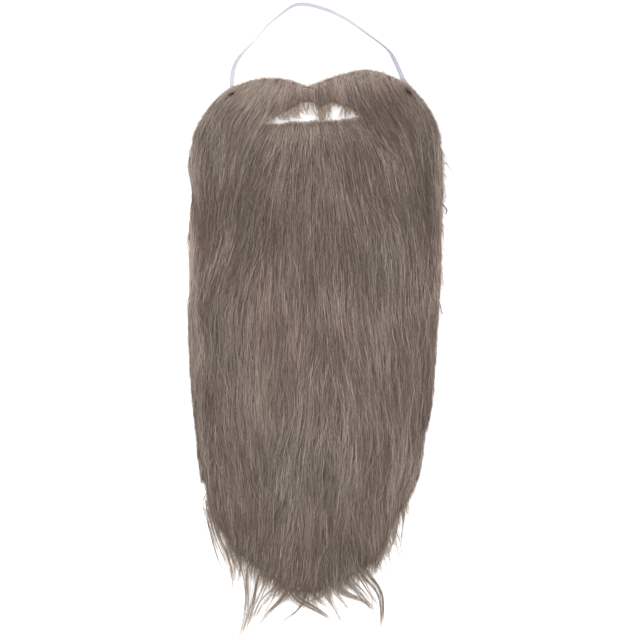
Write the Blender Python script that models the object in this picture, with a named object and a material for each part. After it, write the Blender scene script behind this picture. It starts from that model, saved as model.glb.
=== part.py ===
"""A fake beard laid flat with its hair up.

A knitted ground cloth with a mouth slit carries one deep mat of hair. A narrow flat elastic lies in a loop
above the top edge, and a stitched bar tack holds each of its ends to the cloth. X runs to the right, Y up
towards the nose and Z out of the hair. The origin is on the floor, in the middle of the beard without its
elastic.
"""
import math

import bmesh
import bpy
from mathutils import Vector

# Sizes of the hair, in metres
FUR_WIDTH = 0.2176
BODY_LENGTH = 0.448
TAIL_LENGTH = 0.0315
SHOULDER_DROP = 0.080
PILE_DEPTH = 0.0165
RIM_HEIGHT = 0.0014
TOP_ROUND = 0.013
SIDE_ROUND = 0.022
LOCKS_ACROSS = 21
SIDE_COLUMNS = (0.985, 1.0)
TOP_ROWS = (0.0, 0.004, 0.012, 0.024, 0.038)
EVEN_ROWS = 26
END_ROWS = (0.918, 0.94, 0.962, 0.982, 1.0)
LOCK_RELIEF = 0.0013
LOCK_SWAY = 0.0016
TOOTH_LENGTH = 0.007
WISP_WIDTH = 0.0062
WISP_THICKNESS = 0.0026
TIP_SHARE = 0.16

# Sizes of the moustache strip and of the mouth slit below it
MOUSTACHE_RISE = 0.0042
MOUSTACHE_WIDTH = 0.0085
MOUSTACHE_REACH = 0.066
MOUSTACHE_SLOPE = 0.12
PARTING_WIDTH = 0.0060
PARTING_DEPTH = 0.0036
NOSE_ACROSS = -0.0068
SLIT_WIDTH = 0.0816
SLIT_HEIGHT = 0.0175
SLIT_ACROSS = -0.0034
SLIT_DOWN = 0.0299
SLIT_EASE = 0.011
SLIT_EDGE_SHARE = 0.62
SLIT_COVER = 0.0020

# Sizes of the ground cloth
CLOTH_THICKNESS = 0.0016
TOP_INSET = 0.0015
SIDE_INSET = 0.0045
BOTTOM_INSET = 0.042

# Sizes of the elastic and of its tacks
STRAP_WIDTH = 0.0040
STRAP_THICKNESS = 0.0008
STRAP_GATHER = 0.70
STRAP_STEP = 0.0037
HIDDEN_STEPS = 6
TACK_WIDTH = 0.0020
TACK_THREAD = 0.0005
TACK_HEAD = 0.0011
TACK_LEG = 0.0006
PIT_SPREAD = 1.45

# Clearances between neighbours, and how far a cutter runs past what it cuts
GAP = 0.0003
FLOOR_GAP = 0.00005
PAST = 0.004

# The top edge: across is a share of half the width, drop a share of SHOULDER_DROP below the higher lobe
TOP_EDGE = (
    # across, drop
    (-1.000, 1.000),
    (-0.969, 0.809),
    (-0.906, 0.553),
    (-0.805, 0.362),
    (-0.688, 0.234),
    (-0.555, 0.149),
    (-0.438, 0.106),
    (-0.300, 0.104),
    (-0.190, 0.128),
    (-0.125, 0.164),
    (-0.090, 0.184),
    (-0.062, 0.190),
    (-0.030, 0.176),
    (0.030, 0.140),
    (0.120, 0.088),
    (0.234, 0.043),
    (0.380, 0.000),
    (0.516, 0.043),
    (0.633, 0.106),
    (0.710, 0.170),
    (0.758, 0.234),
    (0.852, 0.362),
    (0.930, 0.553),
    (0.977, 0.809),
    (1.000, 1.000),
)

# The sides: down is a share of BODY_LENGTH, middle and half are shares of half the width
SIDES = (
    # down, middle, half
    (0.000, 0.000, 1.000),
    (0.180, 0.000, 1.000),
    (0.330, -0.010, 0.990),
    (0.440, -0.016, 0.977),
    (0.554, -0.031, 0.961),
    (0.630, -0.031, 0.938),
    (0.706, -0.043, 0.895),
    (0.782, -0.047, 0.844),
    (0.860, -0.047, 0.800),
    (1.000, -0.047, 0.780),
)

# The lower edge of the dense hair: across as above, down a share of BODY_LENGTH
LOWER_EDGE = (
    # across, down
    (-1.000, 0.785),
    (-0.975, 0.835),
    (-0.833, 0.880),
    (-0.720, 0.922),
    (-0.614, 0.945),
    (-0.408, 0.970),
    (-0.190, 0.989),
    (0.060, 0.994),
    (0.240, 0.984),
    (0.408, 0.962),
    (0.624, 0.941),
    (0.737, 0.911),
    (0.878, 0.863),
    (0.930, 0.827),
    (1.000, 0.785),
)

# How deep the hair lies along a lock: along runs from root to tip, deep is a share of PILE_DEPTH
DEPTHS = (
    # along, deep
    (0.00, 0.42),
    (0.05, 0.62),
    (0.12, 0.82),
    (0.28, 1.00),
    (0.60, 1.00),
    (0.78, 0.86),
    (0.90, 0.52),
    (0.97, 0.24),
    (1.00, 0.12),
)

# The mouth slit, round from its left corner: across is a share of SLIT_WIDTH, up a share of SLIT_HEIGHT
SLIT_ARCH = (
    # across, up
    (-0.500, 0.080),
    (-0.385, 0.430),
    (-0.250, 0.720),
    (-0.100, 0.930),
    (0.040, 1.000),
    (0.180, 0.985),
    (0.320, 0.820),
    (0.420, 0.600),
    (0.500, 0.303),
    (0.270, 0.200),
    (0.094, 0.177),
    (-0.229, 0.110),
    (-0.323, 0.000),
)
SLIT_HAIR = (
    # across, up
    (-0.500, 0.080),
    (-0.395, 0.280),
    (-0.280, 0.480),
    (-0.190, 0.640),
    (-0.115, 0.930),
    (-0.030, 1.000),
    (0.030, 0.880),
    (0.070, 0.560),
    (0.110, 0.600),
    (0.160, 0.870),
    (0.250, 0.940),
    (0.340, 0.760),
    (0.420, 0.560),
    (0.500, 0.303),
    (0.270, 0.200),
    (0.094, 0.177),
    (-0.229, 0.110),
    (-0.323, 0.000),
)

# The loose pointed locks: root_across and tip_across are shares of half the width, root_down is a share of
# BODY_LENGTH, tip_reach a share of TAIL_LENGTH below the dense hair, bow a share of the lock's length and
# thick a share of WISP_WIDTH
WISPS = (
    # root_across, root_down, tip_across, tip_reach, bow, thick
    (-0.852, 0.800, -0.703, -0.946, -0.05, 0.45),
    (-0.734, 0.848, -0.656, -0.243, -0.03, 0.75),
    (-0.672, 0.877, -0.594, -0.324, -0.02, 0.75),
    (-0.594, 0.905, -0.555, 0.270, 0.02, 0.55),
    (-0.516, 0.925, -0.570, 1.000, 0.03, 0.60),
    (-0.461, 0.935, -0.523, 0.595, 0.04, 0.65),
    (-0.390, 0.945, -0.500, 0.620, 0.08, 0.80),
    (-0.234, 0.960, -0.461, 0.784, 0.05, 0.60),
    (-0.156, 0.965, 0.094, 0.620, -0.12, 1.00),
    (-0.047, 0.975, -0.297, 0.770, 0.12, 0.45),
    (0.047, 0.970, 0.200, 0.757, 0.03, 0.50),
    (0.140, 0.960, 0.281, 0.486, 0.02, 0.50),
    (0.150, 0.950, 0.375, 0.216, -0.08, 0.95),
    (0.219, 0.945, 0.453, 0.378, -0.02, 0.75),
    (0.320, 0.930, 0.484, 0.243, 0.02, 0.65),
    (0.438, 0.915, 0.500, 0.838, 0.05, 0.95),
    (0.500, 0.895, 0.523, 0.135, 0.03, 0.70),
    (0.492, 0.910, 0.652, -0.365, -0.08, 0.40),
    (0.625, 0.830, 0.617, -0.946, 0.03, 0.45),
    (0.656, 0.815, 0.688, -1.000, 0.02, 0.45),
)

# The elastic's route, from the end under its left tack to the end under its right one: across is a share of
# half the width, above is metres over the top of the hair, turn is degrees from lying flat, and lift runs
# from 0 on the floor to 1 on the cloth
STRAP_ROUTE = (
    # across, above, turn, lift
    (-0.6553, -0.0264, 0.0, 1.0),
    (-0.6581, -0.0225, 0.0, 1.0),
    (-0.6590, -0.0180, 0.0, 1.0),
    (-0.6581, -0.0136, 0.0, 0.92),
    (-0.6535, -0.0072, 4.0, 0.45),
    (-0.6406, 0.0003, 10.0, 0.08),
    (-0.6158, 0.0063, 18.0, 0.0),
    (-0.5708, 0.0128, 34.0, 0.0),
    (-0.5009, 0.0209, 56.0, 0.0),
    (-0.4504, 0.0268, 70.0, 0.0),
    (-0.3713, 0.0369, 84.0, 0.0),
    (-0.3116, 0.0424, 82.0, 0.0),
    (-0.2426, 0.0484, 62.0, 0.0),
    (-0.1921, 0.0520, 46.0, 0.0),
    (-0.1425, 0.0539, 38.0, 0.0),
    (-0.0919, 0.0541, 36.0, 0.0),
    (-0.0331, 0.0531, 40.0, 0.0),
    (0.0469, 0.0506, 50.0, 0.0),
    (0.1167, 0.0480, 66.0, 0.0),
    (0.1866, 0.0442, 80.0, 0.0),
    (0.2472, 0.0408, 86.0, 0.0),
    (0.3061, 0.0363, 86.0, 0.0),
    (0.3667, 0.0315, 84.0, 0.0),
    (0.4458, 0.0252, 74.0, 0.0),
    (0.5156, 0.0197, 52.0, 0.0),
    (0.5744, 0.0136, 28.0, 0.0),
    (0.6103, 0.0072, 14.0, 0.0),
    (0.6452, -0.0009, 6.0, 0.10),
    (0.6765, -0.0086, 0.0, 0.50),
    (0.7013, -0.0132, 0.0, 0.92),
    (0.7142, -0.0166, 0.0, 1.0),
    (0.7169, -0.0206, 0.0, 1.0),
    (0.6976, -0.0241, 0.0, 1.0),
)

# Each tack: the end of the route that it sits on, the turn of its bar in degrees, and strap_turn, the
# elastic's own direction there
TACKS = (
    # name, end, turn, strap_turn
    ("tack_left", "first", 25.0, 95.0),
    ("tack_right", "last", -42.0, -90.0),
)

HALF_WIDTH = FUR_WIDTH / 2
TOP_Y = (BODY_LENGTH + TAIL_LENGTH) / 2
CLOTH_TOP = CLOTH_THICKNESS + GAP
GATHERED_WIDTH = STRAP_WIDTH * STRAP_GATHER
GATHERED_THICKNESS = STRAP_THICKNESS * STRAP_GATHER
STRAP_TOP = CLOTH_TOP + STRAP_THICKNESS
CUT_HEIGHT = 3 * PILE_DEPTH


def clamp(value, low=0.0, high=1.0):
    return max(low, min(high, value))


def ease(value):
    """A smooth step from 0 to 1."""
    t = clamp(value)
    return t * t * (3 - 2 * t)


def bell(value):
    return math.exp(-value * value)


def read(table, at, column=1):
    """The value of a table's column at a place along its first column, on a smooth curve through its rows."""
    if at <= table[0][0]:
        return table[0][column]
    if at >= table[-1][0]:
        return table[-1][column]
    i = max(k for k in range(len(table) - 1) if table[k][0] <= at)

    def slope(k):
        low, high = max(k - 1, 0), min(k + 1, len(table) - 1)
        return (table[high][column] - table[low][column]) / (table[high][0] - table[low][0])

    span = table[i + 1][0] - table[i][0]
    t = (at - table[i][0]) / span
    start, end = table[i][column], table[i + 1][column]
    leave, arrive = slope(i) * span, slope(i + 1) * span
    return (
        start * (2 * t**3 - 3 * t**2 + 1)
        + leave * (t**3 - 2 * t**2 + t)
        + end * (3 * t**2 - 2 * t**3)
        + arrive * (t**3 - t**2)
    )


def side_point(across, down):
    """X and Y of a place: across runs from -1 to 1 between the sides, down is metres below the top."""
    share = down / BODY_LENGTH
    x = HALF_WIDTH * (read(SIDES, share, 1) + across * read(SIDES, share, 2))
    return Vector((x, TOP_Y - down))


def top_down(across):
    return SHOULDER_DROP * read(TOP_EDGE, across)


def lower_down(across):
    return BODY_LENGTH * read(LOWER_EDGE, across)


def slit_points(rows, grow=0.0):
    """The slit's outline from one of its tables, clockwise seen from above, moved outwards by grow."""
    points = [
        Vector((SLIT_ACROSS + across * SLIT_WIDTH, TOP_Y - SLIT_DOWN - SLIT_HEIGHT + up * SLIT_HEIGHT))
        for across, up in rows
    ]
    return move_outline(points, [-grow] * len(points))


def move_outline(points, insets):
    """Each point of a clockwise outline moved inwards, square to the outline there."""
    moved = []
    for i, point in enumerate(points):
        before = (point - points[i - 1]).normalized()
        after = (points[(i + 1) % len(points)] - point).normalized()
        inwards = [Vector((d.y, -d.x)) for d in (before, after)]
        middle = (inwards[0] + inwards[1]).normalized()
        reach = max(0.5, middle.dot(inwards[0]))
        moved.append(point + middle * insets[i] / reach)
    return moved


def cloth_outline(clearance=0.0):
    """The cloth's outline, clockwise from above: the hair's outline moved in, grown by clearance."""
    top = [(across / 40, 0.0) for across in range(-40, 41)]
    right = [(1.0, along / 16) for along in range(1, 16)]
    lower = [(across / 14, 1.0) for across in range(14, -15, -1)]
    left = [(-1.0, along / 16) for along in range(15, 0, -1)]
    points, insets = [], []
    for across, along in top + right + lower + left:
        start, end = top_down(across), lower_down(across)
        down = start + (end - start) * along
        points.append(side_point(across, down))
        side = TOP_INSET + (SIDE_INSET - TOP_INSET) * ease((down / SHOULDER_DROP - 0.5) / 0.6)
        low = ease((down / BODY_LENGTH - 0.62) / 0.32)
        insets.append(side + (BOTTOM_INSET - side) * low - clearance)
    return move_outline(points, insets)


def new_object(name, data, home):
    obj = bpy.data.objects.new(name, data)
    home.objects.link(obj)
    return obj


def mesh_object(name, bm, home):
    bmesh.ops.recalc_face_normals(bm, faces=bm.faces)
    data = bpy.data.meshes.new(name)
    bm.to_mesh(data)
    bm.free()
    return new_object(name, data, home)


def prism(name, outline, low, high, home):
    """An upright block over a flat outline."""
    bm = bmesh.new()
    floor = bm.faces.new([bm.verts.new((p.x, p.y, low)) for p in outline])
    raised = bmesh.ops.extrude_face_region(bm, geom=[floor])
    lifted = [v for v in raised["geom"] if isinstance(v, bmesh.types.BMVert)]
    bmesh.ops.translate(bm, vec=(0, 0, high - low), verts=lifted)
    return mesh_object(name, bm, home)


def block(name, size, middle, turn, home):
    """A box of a size about its middle, turned about Z."""
    bm = bmesh.new()
    bmesh.ops.create_cube(bm, size=1.0)
    bmesh.ops.scale(bm, vec=size, verts=bm.verts)
    obj = mesh_object(name, bm, home)
    obj.location = middle
    obj.rotation_euler.z = math.radians(turn)
    return obj


def cutter(obj):
    obj.hide_render = True
    obj.display_type = "WIRE"
    return obj


def join_or_cut(obj, other, operation, solver="EXACT"):
    step = obj.modifiers.new(other.name, "BOOLEAN")
    step.operation = operation
    step.object = other
    step.solver = solver


def cut_sheet(obj, other):
    """Cut one of the two wide flat pieces, where the exact solver loses faces over their long outlines."""
    join_or_cut(obj, other, "DIFFERENCE", "MANIFOLD")


def material(name, colour, roughness):
    made = bpy.data.materials.new(name)
    made.use_nodes = True
    shader = made.node_tree.nodes["Principled BSDF"]
    shader.inputs["Base Color"].default_value = (*colour, 1.0)
    shader.inputs["Roughness"].default_value = roughness
    shader.inputs["Metallic"].default_value = 0.0
    return made


def pile_height(across, along, place, ridge):
    """How high the hair stands at a place, from its rounded edges, its locks, the moustache and the slit."""
    start, end = top_down(across), lower_down(across)
    from_side = (1 - abs(across)) * HALF_WIDTH
    from_top = along * (end - start)
    rounding = 1.0
    for distance, radius in ((from_side, SIDE_ROUND), (from_top, TOP_ROUND)):
        t = clamp(distance / radius)
        rounding *= math.sqrt(1 - (1 - t) ** 2)
    body = PILE_DEPTH * read(DEPTHS, along) - RIM_HEIGHT
    slit_middle = Vector((SLIT_ACROSS, TOP_Y - SLIT_DOWN - SLIT_HEIGHT / 2))
    off = place - slit_middle
    reach = math.hypot(off.x / (SLIT_WIDTH / 2 + SLIT_EASE), off.y / (SLIT_HEIGHT / 2 + SLIT_EASE))
    body *= SLIT_EDGE_SHARE + (1 - SLIT_EDGE_SHARE) * ease(2 * reach - 1)
    from_nose = place.x - NOSE_ACROSS
    from_roll = place.y - (TOP_Y - SLIT_DOWN + MOUSTACHE_WIDTH / 3 - abs(from_nose) * MOUSTACHE_SLOPE)
    roll = bell(from_roll / MOUSTACHE_WIDTH) * ease(3 - 3 * abs(from_nose) / MOUSTACHE_REACH)
    body += MOUSTACHE_RISE * roll
    body -= PARTING_DEPTH * bell(from_nose / PARTING_WIDTH) * bell(from_roll / (2 * MOUSTACHE_WIDTH))
    relief = LOCK_RELIEF * ridge * ease(from_top / TOP_ROUND - 0.6)
    return RIM_HEIGHT + max(0.0, (body + relief) * rounding)


def fur_columns():
    """Across shares of the mat's columns, a ridge and a groove for each lock, closer at the sides."""
    count = 2 * LOCKS_ACROSS
    inner = 1 - 2 / count
    middle = [(inner * (2 * i / count - 1), 1 if i % 2 else -1) for i in range(count + 1)]
    left = [(-across, 0) for across in SIDE_COLUMNS[::-1]]
    right = [(across, 0) for across in SIDE_COLUMNS]
    return left + middle + right


def fur_rows():
    """Shares of the way from the top edge to the lower one, closer at both ends."""
    start, end = TOP_ROWS[-1], END_ROWS[0]
    middle = [start + (end - start) * i / EVEN_ROWS for i in range(1, EVEN_ROWS)]
    return [*TOP_ROWS, *middle, *END_ROWS]


def make_mat(home):
    """The mat of hair: locks from the top edge to the lower one over a flat underside."""
    columns, rows = fur_columns(), fur_rows()
    bm = bmesh.new()
    grid = []
    for along in rows:
        line = []
        for i, (across, ridge) in enumerate(columns):
            start, end = top_down(across), lower_down(across)
            inside = ridge != 0
            tooth = TOOTH_LENGTH * ridge * (0.55 + 0.45 * math.sin(2.3 * i)) if inside else 0.0
            down = start + (end - start) * along + tooth * ease((along - 0.8) / 0.2)
            place = side_point(across, down)
            swing = math.sin(0.9 * i + 5.0 * along) + 0.6 * math.sin(2.1 * i - 9.0 * along)
            if inside:
                place.x += LOCK_SWAY * swing * ease(along / 0.12)
            waving = ridge * (0.75 + 0.35 * math.sin(1.7 * i + 7.0 * along))
            height = pile_height(across, along, place, waving)
            line.append(bm.verts.new((place.x, place.y, height)))
        grid.append(line)
    for upper, lower in zip(grid, grid[1:]):
        for i in range(len(columns) - 1):
            bm.faces.new((upper[i], lower[i], lower[i + 1], upper[i + 1]))
    bmesh.ops.triangulate(bm, faces=bm.faces)
    loop = grid[0] + [line[-1] for line in grid[1:-1]] + grid[-1][::-1] + [line[0] for line in grid[-2:0:-1]]
    under = [bm.verts.new((v.co.x, v.co.y, 0.0)) for v in loop]
    for i, vert in enumerate(loop):
        after = (i + 1) % len(loop)
        bm.faces.new((vert, loop[after], under[after], under[i]))
    bm.faces.new(under[::-1])
    return mesh_object("fur_pile", bm, home)


def make_wisp(name, row, home):
    """One loose lock: a flattened pointed form on the floor, from inside the mat to its tip."""
    root_across, root_down, tip_across, tip_reach, bow, thick = row
    root = Vector((root_across * HALF_WIDTH, TOP_Y - root_down * BODY_LENGTH))
    tip = Vector((tip_across * HALF_WIDTH, TOP_Y - BODY_LENGTH - tip_reach * TAIL_LENGTH))
    run = tip - root
    side = Vector((-run.y, run.x))
    sections, sides = 7, 8
    bm = bmesh.new()
    rings = []
    for i in range(sections):
        t = i / (sections - 1)
        middle = root + run * t + side * bow * 4 * t * (1 - t)
        heading = (run + side * bow * 4 * (1 - 2 * t)).normalized()
        square = Vector((-heading.y, heading.x))
        share = thick * (1 - (1 - TIP_SHARE) * t**1.5)
        wide = share * WISP_WIDTH / 2
        high = share**0.6 * WISP_THICKNESS / 2
        ring = []
        for k in range(sides):
            angle = 2 * math.pi * (k + 0.5) / sides
            spot = middle + square * wide * math.cos(angle)
            ring.append(bm.verts.new((spot.x, spot.y, FLOOR_GAP + high * (1 + math.sin(angle)))))
        rings.append(ring)
    for ring, after in zip(rings, rings[1:]):
        for k in range(sides):
            bm.faces.new((ring[k], ring[(k + 1) % sides], after[(k + 1) % sides], after[k]))
    bm.faces.new(rings[0][::-1])
    bm.faces.new(rings[-1])
    bmesh.ops.triangulate(bm, faces=bm.faces)
    return cutter(mesh_object(name, bm, home))


def route_place(row):
    """X and Y of one row of the elastic's route."""
    across, above = STRAP_ROUTE[row][:2]
    return across * HALF_WIDTH, TOP_Y + above


def route_points():
    """The elastic's centre line as (x, y, z, turn, gather), evenly spaced on a smooth curve."""
    rows = [(*route_place(i), *STRAP_ROUTE[i][2:]) for i in range(len(STRAP_ROUTE))]

    def between(k, t):
        near = [rows[clamp(k + step, 0, len(rows) - 1)] for step in (-1, 0, 1, 2)]
        weights = (
            -0.5 * t**3 + t**2 - 0.5 * t,
            1.5 * t**3 - 2.5 * t**2 + 1,
            -1.5 * t**3 + 2 * t**2 + 0.5 * t,
            0.5 * t**3 - 0.5 * t**2,
        )
        return [sum(w * row[c] for w, row in zip(weights, near)) for c in range(4)]

    fine = [between(k, j / 20) for k in range(len(rows) - 1) for j in range(20)]
    fine.append(rows[-1])
    length = [0.0]
    for before, after in zip(fine, fine[1:]):
        length.append(length[-1] + math.dist(before[:2], after[:2]))
    count = max(8, round(length[-1] / STRAP_STEP))
    points, k = [], 0
    for i in range(count + 1):
        at = length[-1] * i / count
        while k < len(fine) - 2 and length[k + 1] < at:
            k += 1
        t = (at - length[k]) / (length[k + 1] - length[k])
        x, y, turn, lift = (a + (b - a) * t for a, b in zip(fine[k], fine[k + 1]))
        gathered = 1 - (1 - STRAP_GATHER) * ease(2.0 - 0.5 * min(i, count - i))
        tilt = math.radians(turn)
        wide, thin = STRAP_WIDTH * gathered / 2, STRAP_THICKNESS * gathered / 2
        standing = abs(math.sin(tilt)) * wide + abs(math.cos(tilt)) * thin
        z = standing + FLOOR_GAP + clamp(lift) * (CLOTH_TOP - FLOOR_GAP)
        points.append((x, y, z, tilt, gathered))
    return points


def make_strap(home):
    """The flat elastic, as a ribbon that turns on its edge and back along its route."""
    data = bpy.data.curves.new("elastic_strap", "CURVE")
    data.dimensions = "3D"
    data.twist_mode = "Z_UP"
    data.bevel_depth = STRAP_THICKNESS / 2
    data.bevel_resolution = 1
    data.extrude = (STRAP_WIDTH - STRAP_THICKNESS) / 2
    data.use_fill_caps = True
    points = route_points()
    spline = data.splines.new("POLY")
    spline.points.add(len(points) - 1)
    for spot, (x, y, z, tilt, gathered) in zip(spline.points, points):
        spot.co = (x, y, z, 1.0)
        spot.tilt = math.pi / 2 - tilt
        spot.radius = gathered
    return new_object("elastic_strap", data, home)


def strap_channel(name, points, home):
    """A cutter that clears one hidden end of the elastic, from below the cloth to above the elastic."""
    reach = STRAP_WIDTH / 2 + GAP
    places = [Vector(p[:2]) for p in points]
    ends = (places[0] - places[1]).normalized(), (places[-1] - places[-2]).normalized()
    places = [places[0] + ends[0] * GAP] + places + [places[-1] + ends[1] * GAP]
    left, right = [], []
    for i, place in enumerate(places):
        heading = (places[min(i + 1, len(places) - 1)] - places[max(i - 1, 0)]).normalized()
        side = Vector((-heading.y, heading.x)) * reach
        left.append(place + side)
        right.append(place - side)
    return cutter(prism(name, left + right[::-1], -PAST, STRAP_TOP + GAP, home))


def tack_reach(turn, strap_turn):
    """Half the clear width inside a tack, measured along its bar, for an elastic that crosses at an angle."""
    crossing = math.radians(strap_turn - turn)
    across = GATHERED_WIDTH / 2 / abs(math.sin(crossing))
    return across + TACK_WIDTH / 2 / abs(math.tan(crossing)) + GAP


def make_tack(row, home, cutters, cloth, fur):
    """A stitched loop round the end of the elastic, through two slots in the cloth and a groove under it."""
    name, end, turn, strap_turn = row
    x, y = route_place({"first": 1, "last": -2}[end])
    reach = tack_reach(turn, strap_turn)
    length = 2 * (reach + TACK_LEG)
    window_top = CLOTH_TOP + GATHERED_THICKNESS + GAP
    height = window_top + TACK_HEAD
    tack = block(name, (length, TACK_WIDTH, height), (x, y, height / 2), turn, home)
    hole = window_top - TACK_THREAD
    window = block(
        name + "_window", (2 * reach, TACK_WIDTH + PAST, hole), (x, y, TACK_THREAD + hole / 2), turn, cutters
    )
    join_or_cut(tack, cutter(window), "DIFFERENCE")
    along = Vector((math.cos(math.radians(turn)), math.sin(math.radians(turn))))
    slot = (TACK_LEG + 2 * GAP, TACK_WIDTH + 2 * GAP, 2 * CLOTH_THICKNESS + PAST)
    for side, word in ((-1, "a"), (1, "b")):
        spot = Vector((x, y)) + along * side * (reach + TACK_LEG / 2)
        cut_sheet(cloth, cutter(block(f"{name}_slot_{word}", slot, (*spot, 0.0), turn, cutters)))
    depth = TACK_THREAD + GAP
    groove = (length + 2 * GAP, TACK_WIDTH + 2 * GAP, 2 * depth)
    cut_sheet(cloth, cutter(block(name + "_groove", groove, (x, y, 0.0), turn, cutters)))
    bm = bmesh.new()
    bmesh.ops.create_cone(
        bm, cap_ends=True, segments=16, radius1=1.0, radius2=PIT_SPREAD, depth=CUT_HEIGHT
    )
    long_reach = (length / 2 + GAP) * math.sqrt(2)
    short_reach = (TACK_WIDTH / 2 + GAP) * math.sqrt(2)
    bmesh.ops.scale(bm, vec=(long_reach, short_reach, 1.0), verts=bm.verts)
    pit = mesh_object(name + "_pit", bm, cutters)
    pit.location = (x, y, CUT_HEIGHT / 2 - PAST)
    pit.rotation_euler.z = math.radians(turn)
    cut_sheet(fur, cutter(pit))
    return tack


def make_beard():
    for obj in list(bpy.data.objects):
        bpy.data.objects.remove(obj)
    home = bpy.data.collections.new("fake_beard")
    cutters = bpy.data.collections.new("cutters")
    for group in (home, cutters):
        bpy.context.scene.collection.children.link(group)

    cloth = prism("knit_backing", cloth_outline(), 0.0, CLOTH_THICKNESS, home)
    slit = slit_points(SLIT_ARCH, SLIT_COVER)
    cut_sheet(cloth, cutter(prism("cloth_slit", slit, -PAST, CUT_HEIGHT, cutters)))

    fur = make_mat(home)
    for number, row in enumerate(WISPS, 1):
        join_or_cut(fur, make_wisp(f"wisp_{number}", row, cutters), "UNION")
    pocket = prism("cloth_pocket", cloth_outline(GAP), -PAST, CLOTH_TOP, cutters)
    rim = slit_points(SLIT_ARCH, SLIT_COVER - GAP)
    join_or_cut(pocket, cutter(prism("pocket_rim", rim, -2 * PAST, CUT_HEIGHT, cutters)), "DIFFERENCE")
    cut_sheet(fur, cutter(pocket))
    cut_sheet(fur, cutter(prism("hair_slit", slit_points(SLIT_HAIR), -PAST, CUT_HEIGHT, cutters)))

    strap = make_strap(home)
    points = route_points()
    cut_sheet(fur, strap_channel("channel_left", points[:HIDDEN_STEPS], cutters))
    cut_sheet(fur, strap_channel("channel_right", points[-HIDDEN_STEPS:], cutters))
    tacks = [make_tack(row, home, cutters, cloth, fur) for row in TACKS]

    fur.data.materials.append(material("hair", (0.195, 0.150, 0.125), 0.72))
    cloth.data.materials.append(material("knit", (0.250, 0.205, 0.175), 0.90))
    strap.data.materials.append(material("elastic", (0.690, 0.660, 0.780), 0.75))
    thread = material("thread", (0.035, 0.022, 0.018), 0.80)
    for tack in tacks:
        tack.data.materials.append(thread)


make_beard()
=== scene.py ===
"""A fake beard laid flat, seen from straight above.

The hair is thousands of thin tapered strands, joined into a few meshes. They follow one field of directions
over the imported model's own surface, in small locks that draw together towards their tips. Places named in
photo pixels are turned into metres by at_pixel.
"""

import math

import bmesh
import bpy
import numpy as np
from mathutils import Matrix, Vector
from mathutils.bvhtree import BVHTree
from mathutils.kdtree import KDTree


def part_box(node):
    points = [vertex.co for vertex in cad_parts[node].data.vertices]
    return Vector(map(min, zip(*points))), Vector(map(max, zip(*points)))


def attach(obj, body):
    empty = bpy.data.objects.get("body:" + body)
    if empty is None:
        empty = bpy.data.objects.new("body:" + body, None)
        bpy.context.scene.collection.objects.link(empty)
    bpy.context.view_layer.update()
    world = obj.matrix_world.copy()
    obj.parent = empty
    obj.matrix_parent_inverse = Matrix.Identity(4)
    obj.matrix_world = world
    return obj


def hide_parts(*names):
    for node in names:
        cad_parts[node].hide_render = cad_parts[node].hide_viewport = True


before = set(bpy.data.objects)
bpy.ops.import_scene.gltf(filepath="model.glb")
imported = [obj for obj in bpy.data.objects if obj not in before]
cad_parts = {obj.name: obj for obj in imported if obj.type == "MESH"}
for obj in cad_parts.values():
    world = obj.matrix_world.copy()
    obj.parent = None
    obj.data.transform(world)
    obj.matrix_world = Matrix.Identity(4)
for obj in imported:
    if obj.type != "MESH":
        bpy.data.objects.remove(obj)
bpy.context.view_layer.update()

PIXEL = 0.00085
MIDDLE_PIXEL = (316.0, 350.0)
IMAGE = 640
MM = 0.001
FULL_TURN = 2 * math.pi
LENS = 135.0
SENSOR = 36.0
PLANE_SEEN = 0.001


def at_pixel(px, py):
    return (px - MIDDLE_PIXEL[0]) * PIXEL, (MIDDLE_PIXEL[1] - py) * PIXEL


def row_y(py):
    return at_pixel(0, py)[1]


def add_object(name, data):
    made = bpy.data.objects.new(name, data)
    bpy.context.scene.collection.objects.link(made)
    return made


# Camera: straight above, on a long lens, so that the image spans 0.544 m of the plane just over the floor
camera_data = bpy.data.cameras.new("camera")
camera_data.sensor_width = SENSOR
camera_data.lens = LENS
camera_data.clip_start = 0.05
camera_data.clip_end = 20.0
camera = add_object("camera", camera_data)
camera.location = (*at_pixel(IMAGE / 2, IMAGE / 2), PLANE_SEEN + IMAGE * PIXEL * LENS / SENSOR)
bpy.context.scene.camera = camera


# Helpers for materials and meshes


def new_material(name, colour, roughness, specular=0.3):
    made = bpy.data.materials.new(name)
    made.use_nodes = True
    shader = made.node_tree.nodes["Principled BSDF"]
    shader.inputs["Base Color"].default_value = (*colour, 1.0)
    shader.inputs["Roughness"].default_value = roughness
    shader.inputs["Specular IOR Level"].default_value = specular
    shader.inputs["Metallic"].default_value = 0.0
    return made, made.node_tree, shader


def node(tree, kind, **values):
    made = tree.nodes.new(kind)
    for name, value in values.items():
        setattr(made, name, value)
    return made


def maths(tree, operation, a, b=None):
    made = node(tree, "ShaderNodeMath", operation=operation)
    for socket, value in zip(made.inputs, (a, b)):
        if value is None:
            continue
        if isinstance(value, (int, float)):
            socket.default_value = value
        else:
            tree.links.new(value, socket)
    return made.outputs[0]


def ramp(tree, value, stops):
    made = node(tree, "ShaderNodeValToRGB")
    elements = made.color_ramp.elements
    while len(elements) < len(stops):
        elements.new(0.5)
    for element, (place, colour) in zip(elements, stops):
        element.position = place
        element.color = (*colour, 1.0)
    tree.links.new(value, made.inputs[0])
    return made.outputs[0]


def mixed(tree, kind, factor, first, second):
    made = node(tree, "ShaderNodeMix", data_type="RGBA", blend_type=kind)
    if isinstance(factor, (int, float)):
        made.inputs[0].default_value = factor
    else:
        tree.links.new(factor, made.inputs[0])
    for socket, value in zip(made.inputs[6:8], (first, second)):
        if isinstance(value, tuple):
            socket.default_value = (*value, 1.0)
        else:
            tree.links.new(value, socket)
    return made.outputs[2]


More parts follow.
